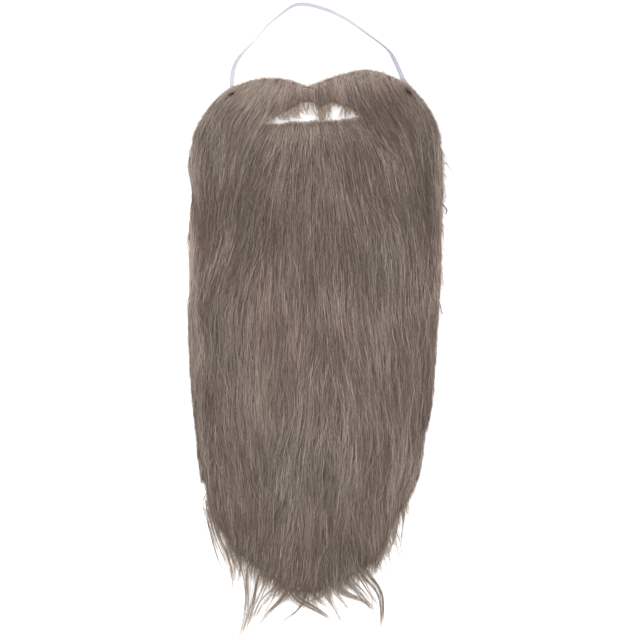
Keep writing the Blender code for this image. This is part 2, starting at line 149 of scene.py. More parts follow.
def coloured_by(tree, shader, value, stops):
    tree.links.new(ramp(tree, value, stops), shader.inputs["Base Color"])


def object_place(tree):
    return node(tree, "ShaderNodeTexCoord").outputs["Object"]


def split_place(tree, value):
    made = node(tree, "ShaderNodeSeparateXYZ")
    tree.links.new(value, made.inputs[0])
    return made.outputs


def noise(tree, place, scale, detail=2.0):
    made = node(tree, "ShaderNodeTexNoise")
    made.inputs["Scale"].default_value = scale
    made.inputs["Detail"].default_value = detail
    tree.links.new(place, made.inputs["Vector"])
    return made.outputs["Fac"]


def add_bump(tree, shader, height, strength, distance):
    made = node(tree, "ShaderNodeBump")
    made.inputs["Strength"].default_value = strength
    made.inputs["Distance"].default_value = distance
    tree.links.new(height, made.inputs["Height"])
    tree.links.new(made.outputs["Normal"], shader.inputs["Normal"])


def new_mesh_object(name, vertices, triangles, uv=None):
    data = bpy.data.meshes.new(name)
    data.vertices.add(len(vertices))
    data.vertices.foreach_set("co", np.asarray(vertices, dtype=np.float32).ravel())
    triangles = np.asarray(triangles, dtype=np.int32)
    data.loops.add(triangles.size)
    data.loops.foreach_set("vertex_index", triangles.ravel())
    data.polygons.add(len(triangles))
    data.polygons.foreach_set("loop_start", np.arange(0, triangles.size, 3, dtype=np.int32))
    data.polygons.foreach_set("use_smooth", np.full(len(triangles), True))
    if uv is not None:
        layer = data.uv_layers.new(name="OFBake")
        layer.data.foreach_set("uv", np.asarray(uv, dtype=np.float32)[triangles.ravel()].ravel())
    data.update(calc_edges=True)
    data.validate()
    return add_object(name, data)


def wear(piece, made):
    """Give a piece its material and its body."""
    piece.data.materials.clear()
    piece.data.materials.append(made)
    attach(piece, "root")


# The elastic's route, as in the model: metres, degrees from lying flat, and 0 on the floor to 1 on the cloth
STRAP_WIDTH = 0.0040
STRAP_THICKNESS = 0.0008
STRAP_GATHER = 0.70
RIGHT_GATHER = 1.0
STRAP_LENGTH = 0.2365
STRAP_PARTS = 180
GATHER_STEP = 0.0037
STRAP_ROUTE = (
    # x, y, turn, lift
    (-0.0713, 0.2134, 0, 1), (-0.0716, 0.2173, 0, 1), (-0.0717, 0.2218, 0, 1), (-0.0716, 0.2262, 0, 0.92),
    (-0.0711, 0.2326, 4, 0.45), (-0.0697, 0.2401, 24, 0.08), (-0.067, 0.2461, 40, 0),
    (-0.0621, 0.2526, 58, 0), (-0.0545, 0.2607, 70, 0), (-0.049, 0.2666, 80, 0), (-0.0404, 0.2767, 74, 0),
    (-0.0339, 0.2822, 74, 0), (-0.0264, 0.2881, 66, 0), (-0.0209, 0.2918, 54, 0), (-0.0155, 0.2937, 47, 0),
    (-0.01, 0.2939, 46, 0), (-0.0036, 0.2929, 45, 0), (0.0051, 0.2904, 45, 0), (0.0127, 0.2878, 45, 0),
    (0.0203, 0.284, 45, 0), (0.0269, 0.2805, 52, 0), (0.0333, 0.276, 65, 0), (0.0399, 0.2713, 68, 0),
    (0.0485, 0.265, 72, 0), (0.0561, 0.2594, 70, 0), (0.0625, 0.2534, 58, 0), (0.0664, 0.247, 22, 0),
    (0.0702, 0.2389, 6, 0.1), (0.0736, 0.2312, 0, 0.5), (0.0763, 0.2266, 0, 0.92), (0.0777, 0.2232, 0, 1),
    (0.078, 0.2192, 0, 1), (0.0759, 0.2157, 0, 1),
)
STRAP_LIGHT_AND_SHADE = (
    # x, colour: the elastic's pale lilac with painted light, paler where it lies lit to the left, and painted
    # shade, darker towards its right end
    (-0.072, (0.53, 0.515, 0.6)), (-0.062, (0.64, 0.63, 0.68)), (-0.052, (0.72, 0.715, 0.74)),
    (-0.04, (0.62, 0.62, 0.62)), (-0.03, (0.58, 0.575, 0.6)), (-0.018, (0.57, 0.555, 0.625)),
    (0.01, (0.56, 0.55, 0.615)), (0.019, (0.63, 0.63, 0.635)), (0.034, (0.6, 0.6, 0.61)),
    (0.044, (0.5, 0.495, 0.52)), (0.058, (0.46, 0.455, 0.495)), (0.066, (0.44, 0.43, 0.505)),
    (0.078, (0.43, 0.418, 0.51)),
)
FLOOR_GAP = 0.00005
CLOTH_TOP = 0.0019


def ease(value):
    t = np.clip(value, 0.0, 1.0)
    return t * t * (3 - 2 * t)


def smooth_rows(rows, count):
    """Rows of a table on a smooth curve, evenly spaced along its first two columns."""
    rows = np.array(rows, dtype=float)
    fine = []
    for k in range(len(rows) - 1):
        near = [rows[min(max(k + step, 0), len(rows) - 1)] for step in (-1, 0, 1, 2)]
        for t in np.arange(20) / 20:
            weights = (
                -0.5 * t**3 + t**2 - 0.5 * t,
                1.5 * t**3 - 2.5 * t**2 + 1,
                -1.5 * t**3 + 2 * t**2 + 0.5 * t,
                0.5 * t**3 - 0.5 * t**2,
            )
            fine.append(sum(w * row for w, row in zip(weights, near)))
    fine.append(rows[-1])
    fine = np.array(fine)
    along = np.concatenate([[0.0], np.cumsum(np.hypot(*np.diff(fine[:, :2], axis=0).T))])
    wanted = np.linspace(0.0, along[-1], count + 1)
    return np.stack([np.interp(wanted, along, fine[:, c]) for c in range(rows.shape[1])], axis=1)


def make_elastic():
    """The flat elastic: a ribbed woven ribbon that turns on its edge and back."""
    rows = smooth_rows(STRAP_ROUTE, STRAP_PARTS)
    spaced = np.linspace(0.0, STRAP_LENGTH, len(rows))
    steps = spaced / GATHER_STEP
    from_end = np.minimum(steps, steps[-1] - steps)
    least = np.where(steps < steps[-1] / 2, STRAP_GATHER, RIGHT_GATHER)
    gather = 1 - (1 - least) * ease(2.0 - 0.5 * from_end)
    turn = np.radians(rows[:, 2])
    wide, thin = STRAP_WIDTH * gather / 2, STRAP_THICKNESS * gather / 2
    standing = np.abs(np.sin(turn)) * wide + np.abs(np.cos(turn)) * thin
    lift = np.clip(rows[:, 3], 0, 1) * (CLOTH_TOP - FLOOR_GAP)
    centre = np.stack([rows[:, 0], rows[:, 1], standing + FLOOR_GAP + lift], axis=1)
    heading = np.gradient(centre, axis=0)
    heading /= np.linalg.norm(heading, axis=1)[:, None]
    flat = np.cross(heading, (0.0, 0.0, 1.0))
    flat /= np.linalg.norm(flat, axis=1)[:, None]
    upright = np.cross(flat, heading)
    across = flat * np.cos(turn)[:, None] - upright * np.sin(turn)[:, None]
    through = flat * np.sin(turn)[:, None] + upright * np.cos(turn)[:, None]
    ribs, half_round = 5, 4
    outline = []
    for i in range(ribs * 4 + 1):
        s = -1 + 2 * i / (ribs * 4)
        rib = 0.86 + 0.14 * math.cos(FULL_TURN * ribs * (s + 1) / 2 + math.pi)
        outline.append((s * 0.93, rib))
    bends = [math.pi * k / half_round for k in range(1, half_round)]
    outline += [(0.93 + 0.07 * math.sin(bend), math.cos(bend) * 0.72) for bend in bends]
    ring = np.array(outline + [(-s, -r) for s, r in outline])
    weave = 1 + 0.05 * np.sin(np.arange(len(rows)) * math.pi)[:, None]
    vertices = (
        centre[:, None, :]
        + across[:, None, :] * (wide[:, None] * ring[None, :, 0])[:, :, None]
        + through[:, None, :] * (thin[:, None] * ring[None, :, 1] * weave)[:, :, None]
    )
    n, m = vertices.shape[:2]
    vertices = vertices.reshape(-1, 3)
    triangles = []
    for i in range(n - 1):
        for k in range(m):
            a, b = i * m + k, i * m + (k + 1) % m
            triangles += [(a, b, a + m), (b, b + m, a + m)]
    for start, flip in ((0, True), ((n - 1) * m, False)):
        middle = len(vertices)
        vertices = np.vstack([vertices, centre[0 if flip else -1]])
        for k in range(m):
            a, b = start + k, start + (k + 1) % m
            triangles.append((middle, b, a) if flip else (middle, a, b))
    return new_mesh_object("elastic_ribbon", vertices, triangles), centre


def facing_out(piece):
    """Turn the faces of a closed mesh outwards."""
    bm = bmesh.new()
    bm.from_mesh(piece.data)
    bmesh.ops.recalc_face_normals(bm, faces=bm.faces)
    bm.to_mesh(piece.data)
    bm.free()
    return piece


elastic, strap_centre = make_elastic()
facing_out(elastic)
elastic_material, tree, shader = new_material("elastic", (0.70, 0.67, 0.80), 0.75)
place = object_place(tree)
yarns = noise(tree, place, 900.0)
mottle = ramp(tree, yarns, [(0.30, (0.93, 0.93, 0.93)), (0.70, (1.06, 1.06, 1.06))])
STRAP_LEFT, STRAP_SPAN = 0.08, 0.16
from_left = maths(tree, "ADD", split_place(tree, place)["X"], STRAP_LEFT)
from_left = maths(tree, "MULTIPLY", from_left, 1 / STRAP_SPAN)
# The colour along the elastic is painted light and shade, from its lit left end to its shaded right end
tone = ramp(tree, from_left, [((x + STRAP_LEFT) / STRAP_SPAN, colour) for x, colour in STRAP_LIGHT_AND_SHADE])
tree.links.new(mixed(tree, "MULTIPLY", 1.0, tone, mottle), shader.inputs["Base Color"])
add_bump(tree, shader, yarns, 0.25, 0.0001)
wear(elastic, elastic_material)
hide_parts("elastic_strap")


# Floor, world and light
floor_mesh = bmesh.new()
bmesh.ops.create_grid(floor_mesh, x_segments=2, y_segments=2, size=4.0)
floor_data = bpy.data.meshes.new("floor")
floor_mesh.to_mesh(floor_data)
floor_mesh.free()
floor = add_object("floor", floor_data)
floor_material, tree, shader = new_material("floor", (0.93, 0.93, 0.93), 0.9, 0.0)
shader.inputs["Emission Color"].default_value = (1.0, 1.0, 1.0, 1.0)
shader.inputs["Emission Strength"].default_value = 0.45
floor_data.materials.append(floor_material)

bpy.context.scene.view_settings.view_transform = "Standard"
world = bpy.data.worlds.new("studio")
world.use_nodes = True
background = world.node_tree.nodes["Background"]
background.inputs["Color"].default_value = (1.0, 1.0, 1.0, 1.0)
background.inputs["Strength"].default_value = 0.85
bpy.context.scene.world = world
for name, direction, strength, angle in (
    ("key_light", (0.30, -0.45, -1.0), 1.5, 50.0),
    ("fill_light", (-0.35, 0.25, -1.0), 0.5, 90.0),
):
    light_data = bpy.data.lights.new(name, "SUN")
    light_data.energy = strength
    light_data.angle = math.radians(angle)
    light = add_object(name, light_data)
    light.rotation_mode = "QUATERNION"
    light.rotation_quaternion = Vector(direction).to_track_quat("-Z", "Y")


# Maps over the beard, one cell a millimetre: height, what is under the cell, direction and tone
CELL = 0.001
LOW_X, LOW_Y = -0.130, -0.265
CELLS_X, CELLS_Y = 261, 531
grid_x = LOW_X + CELL * np.arange(CELLS_X)
grid_y = LOW_Y + CELL * np.arange(CELLS_Y)
HAIR, OUTSIDE, SLIT, PIT = 0, 1, 2, 3


def look(field, x, y):
    """The value of a map at places, between its cells."""
    u = np.clip((x - LOW_X) / CELL, 0, CELLS_X - 1.001)
    v = np.clip((y - LOW_Y) / CELL, 0, CELLS_Y - 1.001)
    i, j = u.astype(int), v.astype(int)
    fu, fv = u - i, v - j
    low = field[j, i] * (1 - fu) + field[j, i + 1] * fu
    high = field[j + 1, i] * (1 - fu) + field[j + 1, i + 1] * fu
    return low * (1 - fv) + high * fv


def nearest(field, x, y):
    """The value of the cell of a map that each place is in."""
    i = np.clip(np.rint((x - LOW_X) / CELL), 0, CELLS_X - 1).astype(int)
    j = np.clip(np.rint((y - LOW_Y) / CELL), 0, CELLS_Y - 1).astype(int)
    return field[j, i]


def soften(field, reach):
    """A Gaussian blur of a map, reach in cells."""
    span = int(3 * reach) + 1
    weights = np.exp(-0.5 * (np.arange(-span, span + 1) / reach) ** 2)
    weights /= weights.sum()
    field = np.asarray(field, dtype=float)
    for axis in (0, 1):
        padded = np.pad(field, [(span, span) if a == axis else (0, 0) for a in (0, 1)], mode="edge")
        cells = np.arange(field.shape[axis])
        field = sum(w * np.take(padded, cells + k, axis=axis) for k, w in enumerate(weights))
    return field


def noise_map(cell_mm, seed):
    """Smooth random hills of a size, with a spread of 1."""
    rng = np.random.default_rng(seed)
    rough = rng.standard_normal((int(CELLS_Y / cell_mm) + 3, int(CELLS_X / cell_mm) + 3))
    at_x = np.arange(CELLS_X) / cell_mm
    at_y = np.arange(CELLS_Y) / cell_mm
    wide = np.stack([np.interp(at_x, np.arange(row.size), row) for row in rough])
    full = np.stack([np.interp(at_y, np.arange(column.size), column) for column in wide.T], axis=1)
    full = soften(full, max(1.0, cell_mm / 2.5))
    return (full - full.mean()) / full.std()


fur_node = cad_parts["fur_pile"]
fur_tree = BVHTree.FromPolygons(
    [v.co.copy() for v in fur_node.data.vertices], [tuple(p.vertices) for p in fur_node.data.polygons]
)


def heights(start, direction):
    """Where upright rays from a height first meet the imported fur, and 0 where they miss it."""
    found = np.zeros((CELLS_Y, CELLS_X))
    for j, y in enumerate(grid_y):
        for i, x in enumerate(grid_x):
            hit = fur_tree.ray_cast(Vector((x, y, start)), Vector((0, 0, direction)))[0]
            if hit is not None:
                found[j, i] = hit.z
    return found


height = heights(0.1, -1)
TOP_LINE = (
    # px, py of the upper edge of the hair
    (184, 175), (188, 152.5), (192.8, 141), (194.3, 132.5), (200, 121.5), (209, 107.8), (220, 95.8),
    (231, 87.8), (245, 82), (258, 78.4), (272, 77.6), (283, 78.2), (293, 80.2), (301, 82.8), (308, 86.2),
    (317, 82.2), (326, 78.4), (336, 75.2), (350, 71.6), (365, 69.2), (380, 71), (392, 75.6), (402, 80.9),
    (408, 84.2), (413, 89.3), (424, 101.4), (433, 115.6), (440, 132.5), (444, 160), (448, 180),
)
LOW_LINE = (
    # px, py where the thick of the hair ends below
    (204, 482), (206, 492), (206.5, 505), (214, 519), (227, 540), (238, 554), (252, 564.5), (272, 579),
    (284, 589.5), (298.5, 594), (316, 594), (329, 588), (344, 582), (359, 572), (376, 561.6), (386.6, 541),
    (395, 519), (409.5, 500), (415.3, 488), (418, 480),
)
LEFT_LINE = (
    # py, px of the left edge
    (140, 186), (150, 188.6), (160, 187.6), (168, 187.4), (180, 189.3), (190, 190.4), (200, 190.2),
    (215, 189.8), (225, 188.2), (237, 187.2), (248, 189.2), (260, 187.8), (272, 189.6), (290, 189.4),
    (300, 188.2), (310, 186.6), (322, 187), (345, 187.8), (360, 180),
)
TACKS = (
    # name, x, y, turn, half the length and half the width of the gap in the hair, width and reach of
    # the thread
    ("tack_left", -0.0716, 0.2173, 25.0, 0.0028, 0.0012, 0.0021, 0.00285),
    ("tack_right", 0.0780, 0.2192, -42.0, 0.0034, 0.0014, 0.0028, 0.00365),
)
all_x, all_y = np.meshgrid(grid_x, grid_y)
covered = height > 0
top_line = np.array([at_pixel(*row) for row in TOP_LINE])
below_top = all_y < np.interp(all_x, top_line[:, 0], top_line[:, 1])
close = soften(covered, 2.5)
shoulders = (all_y > 0.19) & (np.abs(all_x) > 0.06)
left_side = (all_x < -0.09) & (all_y > row_y(345))
right_side = (all_x > 0.08) & (all_y < row_y(250)) & (all_y > row_y(430))
loose_rim = ((shoulders | left_side) & (close > 0.24)) | (right_side & (close > 0.36))
kind = np.where((covered | loose_rim) & below_top, HAIR, OUTSIDE)
kind[~covered & (np.abs(all_x) < 0.05) & (all_y > 0.18) & (all_y < 0.216)] = SLIT
for _, x, y, turn, half, half_width, _, _ in TACKS:
    c, d = math.cos(math.radians(turn)), math.sin(math.radians(turn))
    along, aside = (all_x - x) * c + (all_y - y) * d, (all_y - y) * c - (all_x - x) * d
    kind[(np.abs(along) < half) & (np.abs(aside) < half_width)] = PIT
cover = soften(covered, 1.6)
dense = soften(covered, 3.2)
low_line = np.array([at_pixel(*row) for row in LOW_LINE])
left_line = np.array([at_pixel(px, py) for py, px in LEFT_LINE])
past_low = (all_y < np.interp(all_x, low_line[:, 0], low_line[:, 1])) & (all_y < row_y(480))
past_left = (all_x < np.interp(-all_y, -left_line[:, 1], left_line[:, 0])) & (all_y < row_y(140))
lower_part = all_y < row_y(450)
kind[(kind == HAIR) & (dense < 0.5) & lower_part] = OUTSIDE
kind[(close > 0.3) & lower_part] = HAIR
kind[(kind == HAIR) & (past_low | past_left)] = OUTSIDE
inner = soften(kind == HAIR, 1.6)
surface = soften(height, 1.6) / np.maximum(cover, 0.05) * ease(cover * 2.5)

# Hair directions, degrees from straight down, positive to the right
FLOW_COLUMNS = (190, 225, 255, 285, 308, 335, 365, 395, 420, 443)
FLOW = (
    # pixel row, then one angle for each column above
    (75, -60, -60, -45, -15, 0, 12, 18, 35, 45, 40),
    (95, -45, -52, -42, -12, 0, 8, 14, 28, 35, 30),
    (115, -20, -32, -35, -15, 0, 8, 25, 30, 20, 20),
    (135, -8, -14, -38, -15, 0, 14, 34, 32, 14, 10),
    (165, 6, -2, -14, -6, 1, 12, 20, 18, 9, 0),
    (190, 24, 2, -8, -4, 2, 10, 15, 11, 5, -3),
    (215, 8, -14, -8, -2, 2, 9, 12, 9, 3, -4),
    (260, -6, -18, -8, 0, 2, 8, 9, 8, 2, -3),
    (300, -6, -18, -9, 0, 1, 6, 7, 5, 0, -3),
    (340, 0, -8, -5, -2, 0, 4, 6, 4, 0, -3),
    (420, 4, 4, 0, -4, -4, -2, 0, -2, -6, -8),
    (500, 10, 6, -2, -8, -6, -3, 2, -2, -10, -12),
    (560, 14, 8, -4, -12, -6, 2, 8, 4, -8, -12),
    (600, 12, 4, -8, -14, -4, 8, 12, 8, 0, -8),
)
flow_x = np.array([at_pixel(px, 0)[0] for px in FLOW_COLUMNS])
flow_y = np.array([row_y(row[0]) for row in FLOW])
across = np.stack([np.interp(grid_x, flow_x, row[1:]) for row in FLOW])
flow = np.stack([np.interp(grid_y, flow_y[::-1], column[::-1]) for column in across.T], axis=1)
flow = soften(flow, 5.0) + 3.0 * noise_map(24, 11) + 2.8 * noise_map(12, 13) + 2.0 * noise_map(6, 12)
flow = np.radians(flow)

# Broad changes of tone: lighter above 0 and darker below, warm above 0 and cool below. They are partly the
# hair's own tone and partly painted light and shade: the strong lightening and warming along the top and side
# edges is painted light of the white ground through the thin rim hair, and the darkening just above the slit
# is painted shade
PATCHES = (
    # px, py, half width, half height, light, warm
    (275, 80, 62, 14, 1.52, 0), (370, 74, 55, 13, 1.12, 0), (262, 100, 34, 14, 0.46, 0),
    (295, 97, 9, 9, -0.45, 0.1), (322, 95, 8, 10, -0.4, 0.1), (355, 98, 28, 12, -0.1, 0.05),
    (228, 150, 34, 22, -0.1, -0.05), (309, 90, 7, 8, 0.2, 0.1), (190, 170, 8, 50, 0.5, 0.1),
    (222, 100, 10, 10, 0.5, -0.1), (206, 118, 8, 12, 0.25, 0), (420, 102, 8, 14, 0.35, 0),
    (441, 180, 7, 60, 0.6, 0.1), (312, 128, 50, 9, 0.7, 0.1), (315, 140, 55, 20, 0.1, 0.05),
    (205, 250, 16, 70, -0.34, 0.1), (425, 250, 18, 60, -0.14, 0), (208, 330, 16, 90, -0.25, 0),
    (225, 205, 30, 22, -0.18, -0.1), (330, 540, 60, 44, -0.16, 0.05), (320, 575, 60, 22, -0.1, 0.1),
    (300, 320, 60, 60, 0.1, 0.2), (390, 350, 30, 70, -0.04, 0.2), (240, 420, 30, 80, 0.06, -0.1),
    (315, 420, 90, 44, 0.11, 0), (422, 140, 22, 40, -0.16, -0.1), (188, 250, 6, 62, 2.1, 0),
    (268, 120.5, 5, 3.5, 0.9, 0), (443, 260, 6, 120, 0.8, 0.35), (279, 165, 17, 62, 0.4, 0),
    (374, 150, 22, 26, -0.45, 0), (352, 190, 40, 30, -0.16, 0), (200, 330, 10, 105, 0.36, 0),
    (240, 330, 18, 62, -0.15, 0), (222, 124, 20, 16, 0.26, 0), (235, 460, 28, 26, 0.18, 0),
    (312, 470, 26, 34, 0.25, 0), (328, 420, 24, 18, -0.24, 0), (377, 543, 15, 18, 0.42, 0),
    (350, 574, 15, 13, 0.4, 0),
)
streaks = 0.10 * noise_map(38, 21) + 0.15 * noise_map(14, 22)
light = np.zeros_like(streaks)
warm = 0.45 * noise_map(30, 23) + 0.25 * noise_map(12, 24)
for px, py, half_x, half_y, lighter, warmer in PATCHES:
    x, y = at_pixel(px, py)
    bell = np.exp(-(((all_x - x) / (half_x * PIXEL)) ** 2) - ((all_y - y) / (half_y * PIXEL)) ** 2)
    light += lighter * bell
    warm += warmer * bell

STEPS = 24
LONGEST = 0.100
SHORTEST = 0.0045
ROOT_DEPTH = 0.0016
LEAST_HEIGHT = 0.00025
LOW_END = -0.165
LANES = 7
SANDY_HUE = 2.0


def trace(x, y, length, bias, wave, wave_length, phase):
    """Follow the directions from each root, in even steps."""
    xs, ys = [x], [y]
    for k in range(STEPS):
        run = length * (k + 0.5) / STEPS
        angle = look(flow, x, y) + bias + wave * np.cos(phase + FULL_TURN * run / wave_length)
        x = x + np.sin(angle) * length / STEPS
        y = y - np.cos(angle) * length / STEPS
        xs.append(x)
        ys.append(y)
    return np.array(xs), np.array(ys)


def scatter(spacing, inside, rng):
    """Places spread evenly at random, a spacing apart, where inside says so."""
    x = np.arange(grid_x[0], grid_x[-1], spacing)
    y = np.arange(grid_y[0], grid_y[-1], spacing)
    x, y = (a.ravel() for a in np.meshgrid(x, y))
    x = x + rng.uniform(-0.5, 0.5, x.size) * spacing
    y = y + rng.uniform(-0.5, 0.5, y.size) * spacing
    keep = (nearest(kind, x, y) == HAIR) & inside(x, y)
    return x[keep], y[keep]


# How far hair reaches over the mouth slit, by pixel column
SLIT_FRINGE = (
    # px, reach in millimetres, share of the strands that reach
    (262, 1.5, 0.8), (272, 2.6, 0.8), (280, 4.5, 0.7), (287, 7, 0.6), (298, 7, 0.3), (306, 3, 0.2),
    (314, 2.5, 0.2), (318, 13, 0.5), (323, 13, 0.5), (328, 3, 0.2), (342, 3, 0.25), (350, 5, 0.5),
    (360, 3, 0.7),
)


def along_path(xs, ys, run):
    """Places at a share of each traced path: xs and ys are steps by strands, run is strands by places."""
    u = np.clip(run, 0, 1) * STEPS
    k = np.minimum(u.astype(int), STEPS - 1)
    f = u - k
    n = np.arange(xs.shape[1])[:, None]
    return xs[k, n] * (1 - f) + xs[k + 1, n] * f, ys[k, n] * (1 - f) + ys[k + 1, n] * f


def grow(seed, spacing, inside, lengths, widths, rings, lift, clump_spacing, draw, stray, light_shift=0.0,
         turn=11, curl=1.0):
    """Strands over a region, in locks: centre points, widths, turns, tones and hues for each strand."""
    rng = np.random.default_rng(seed)
    x, y = scatter(spacing, inside, rng)
    count = x.size
    length = rng.uniform(*lengths, count) * MM
    is_stray = rng.random(count) < stray
    bias = np.radians(np.where(is_stray, rng.normal(0, turn, count), rng.normal(0, 2.0, count)))
    wave = np.radians(np.where(is_stray, rng.uniform(6, 16, count), rng.uniform(3, 10, count))) * curl
    wave_length = rng.uniform(14, 34, count) * MM / curl
    phase = rng.uniform(0, FULL_TURN, count)
    xs, ys = trace(x, y, length, bias, wave, wave_length, phase)

    clump_x, clump_y = scatter(clump_spacing, lambda a, b: np.isfinite(a), rng)
    clumps = clump_x.size
    finder = KDTree(clumps)
    for i in range(clumps):
        finder.insert((clump_x[i], clump_y[i], 0.0), i)
    finder.balance()
    owner = np.array([finder.find((x[i], y[i], 0.0))[1] for i in range(count)])
    guide_x, guide_y = trace(
        clump_x,
        clump_y,
        np.full(clumps, LONGEST),
        np.radians(rng.normal(0, 3.4, clumps)),
        np.radians(rng.uniform(2, 9, clumps)),
        rng.uniform(25, 50, clumps) * MM,
        rng.uniform(0, FULL_TURN, clumps),
    )
    share = np.arange(STEPS + 1) / STEPS
    run = share[None, :] * (length / LONGEST)[:, None]
    own_x, own_y = along_path(guide_x[:, owner], guide_y[:, owner], run)
    loose = 1 - 0.7 * ease((row_y(450) - y) / 0.05)
    pull = (rng.uniform(*draw, clumps)[owner] * ~is_stray * loose)[None, :] * ease(share * 1.1)[:, None]
    xs = xs + (own_x.T - xs) * pull
    ys = ys + (own_y.T - ys) * pull

    under = nearest(kind, xs, ys)
    gone = under != HAIR
    gone[0] = False
    first = np.where(gone.any(axis=0), gone.argmax(axis=0), STEPS)
    what = np.where(gone.any(axis=0), under[first, np.arange(count)], HAIR)
    reached = length * np.maximum(first - 0.7, 0) / STEPS
    exit_px = xs[first, np.arange(count)] / PIXEL + MIDDLE_PIXEL[0]
    fringe = np.array(SLIT_FRINGE)
    over_slit = np.interp(exit_px, fringe[:, 0], fringe[:, 1]) * MM * rng.uniform(0.4, 1.0, count)
    over_slit[rng.random(count) > np.interp(exit_px, fringe[:, 0], fringe[:, 2])] *= 0.12
    low = ys[first, np.arange(count)] < LOW_END
    over_edge = np.where(low, rng.exponential(3.0, count), rng.uniform(0.0, 1.0, count)) * MM
    over = np.select([what == OUTSIDE, what == SLIT], [over_edge, over_slit], 0.0)
    allowed = np.where(what == HAIR, length, np.minimum(length, reached + over))
    keep = allowed > SHORTEST
    shares = np.linspace(0, 1, rings + 1) ** 0.9
    run = shares[None, :] * (allowed / length)[:, None]
    px, py = along_path(xs, ys, run)

    far = np.hypot(x - clump_x[owner], y - clump_y[owner]) / (clump_spacing * 0.7)
    clump_lift = rng.random(clumps)[owner]
    rise = lift * (0.62 * clump_lift + 0.38 * rng.random(count)) * (1 - 0.35 * np.clip(far, 0, 1) ** 2)
    rise = np.where(is_stray, lift * rng.uniform(0.9, 1.35, count), rise)
    profile = ease(shares[None, :] * allowed[:, None] / 0.010)
    ground = look(surface, px, py)
    sunk = ROOT_DEPTH * ease((look(inner, x, y) - 0.45) / 0.45)[:, None]
    pz = ground - sunk * (1 - profile) + rise[:, None] * MM * profile * (1 - 0.3 * shares[None, :])
    pz = np.maximum(pz, LEAST_HEIGHT)
    width = (widths[0] + (widths[1] - widths[0]) * rng.random(count) ** 1.8) * MM
    width = np.where(is_stray, np.minimum(width, widths[0] * 1.4 * MM), width)
    taper = (1 - shares[:-1] ** 2.0 * 0.86)[None, :] * np.where(shares[:-1] == 0, 0.7, 1.0)[None, :]
    tone = (
        0.45
        + 0.5 * look(streaks, x, y)
        + 0.10 * rng.standard_normal(clumps)[owner]
        + 0.22 * rng.standard_normal(count)
        # Locks that stand higher are made lighter: painted light on their tops
        + 0.10 * (clump_lift - 0.5)
        + light_shift
    )
    tone = np.where(is_stray, tone + rng.uniform(0.0, 0.22, count), tone)
    # Hair that reaches over the open slit is made lighter: painted light of the white ground through it
    tone = np.where(what == SLIT, tone + 0.10, tone)[:, None] + 0.5 * look(light, px, py)
    width = np.where(what == SLIT, width * 0.7, width)
    hue = 0.5 + 0.28 * look(warm, x, y) + 0.10 * rng.standard_normal(clumps)[owner]
    hue = hue + 0.06 * rng.standard_normal(count)
    centre = np.stack([px, py, pz], axis=2)
    return [
        centre[keep],
        (width[:, None] * taper)[keep],
        rng.uniform(0, FULL_TURN, count)[keep],
        tone[keep],
        np.clip(hue, 0.0, 0.999)[keep],
    ]


FLATNESS = 0.75
TONE_RANGE = (0.02, 0.98)


def strand_piece(name, strands):
    """One mesh of many closed three-sided strands, each ending in a point."""
    centre, width, turn, tone, hue = strands
    tone = np.clip(tone, *TONE_RANGE)
    count, points = centre.shape[:2]
    rings = points - 1
    heading = np.gradient(centre, axis=1)
    heading /= np.maximum(np.linalg.norm(heading, axis=2), 1e-9)[:, :, None]
    side = np.cross(heading, (0.0, 0.0, 1.0))
    side /= np.maximum(np.linalg.norm(side, axis=2), 1e-9)[:, :, None]
    up = np.cross(side, heading)
    corners = turn[:, None, None] + np.arange(3)[None, None, :] * 2 * math.pi / 3
    half = width[:, :, None, None] / 2
    ring = (
        centre[:, :rings, None, :]
        + side[:, :rings, None, :] * np.cos(corners)[..., None] * half
        + up[:, :rings, None, :] * np.sin(corners)[..., None] * half * FLATNESS
    )
    each = rings * 3 + 1
    vertices = np.concatenate([ring.reshape(count, rings * 3, 3), centre[:, -1:, :]], axis=1)
    vertices[:, :, 2] = np.maximum(vertices[:, :, 2], FLOOR_GAP)
    pattern = []
    for r in range(rings - 1):
        for c in range(3):
            a, b = r * 3 + c, r * 3 + (c + 1) % 3
            pattern += [(a, a + 3, b + 3), (a, b + 3, b)]
    last = (rings - 1) * 3
    pattern += [(last + c, each - 1, last + (c + 1) % 3) for c in range(3)]
    pattern.append((0, 1, 2))
    pattern = np.array(pattern)
    triangles = (np.arange(count) * each)[:, None, None] + pattern[None]
    lane = np.where(hue > 1.5, LANES - 1, np.minimum((hue * (LANES - 1)).astype(int), LANES - 2))
    tone = np.broadcast_to(tone[:, None] if tone.ndim == 1 else tone, (count, points))
    u = (lane[:, None] + 0.06 + 0.88 * tone) / LANES
    u = np.concatenate([np.repeat(u[:, :rings], 3, axis=1), u[:, -1:]], axis=1)
    v = np.concatenate([np.repeat(np.linspace(0, 1, points)[:rings], 3), [1.0]])
    # Strands rooted by the top edge start part way along v, to leave out most of the painted root shade
    start = np.where(centre[:, 0, 1] > row_y(134), 0.24, 0.0)[:, None]
    uv = np.stack([u, start + (1 - start) * v[None, :]], axis=2)
    return new_mesh_object(name, vertices.reshape(-1, 3), triangles.reshape(-1, 3), uv.reshape(-1, 2))


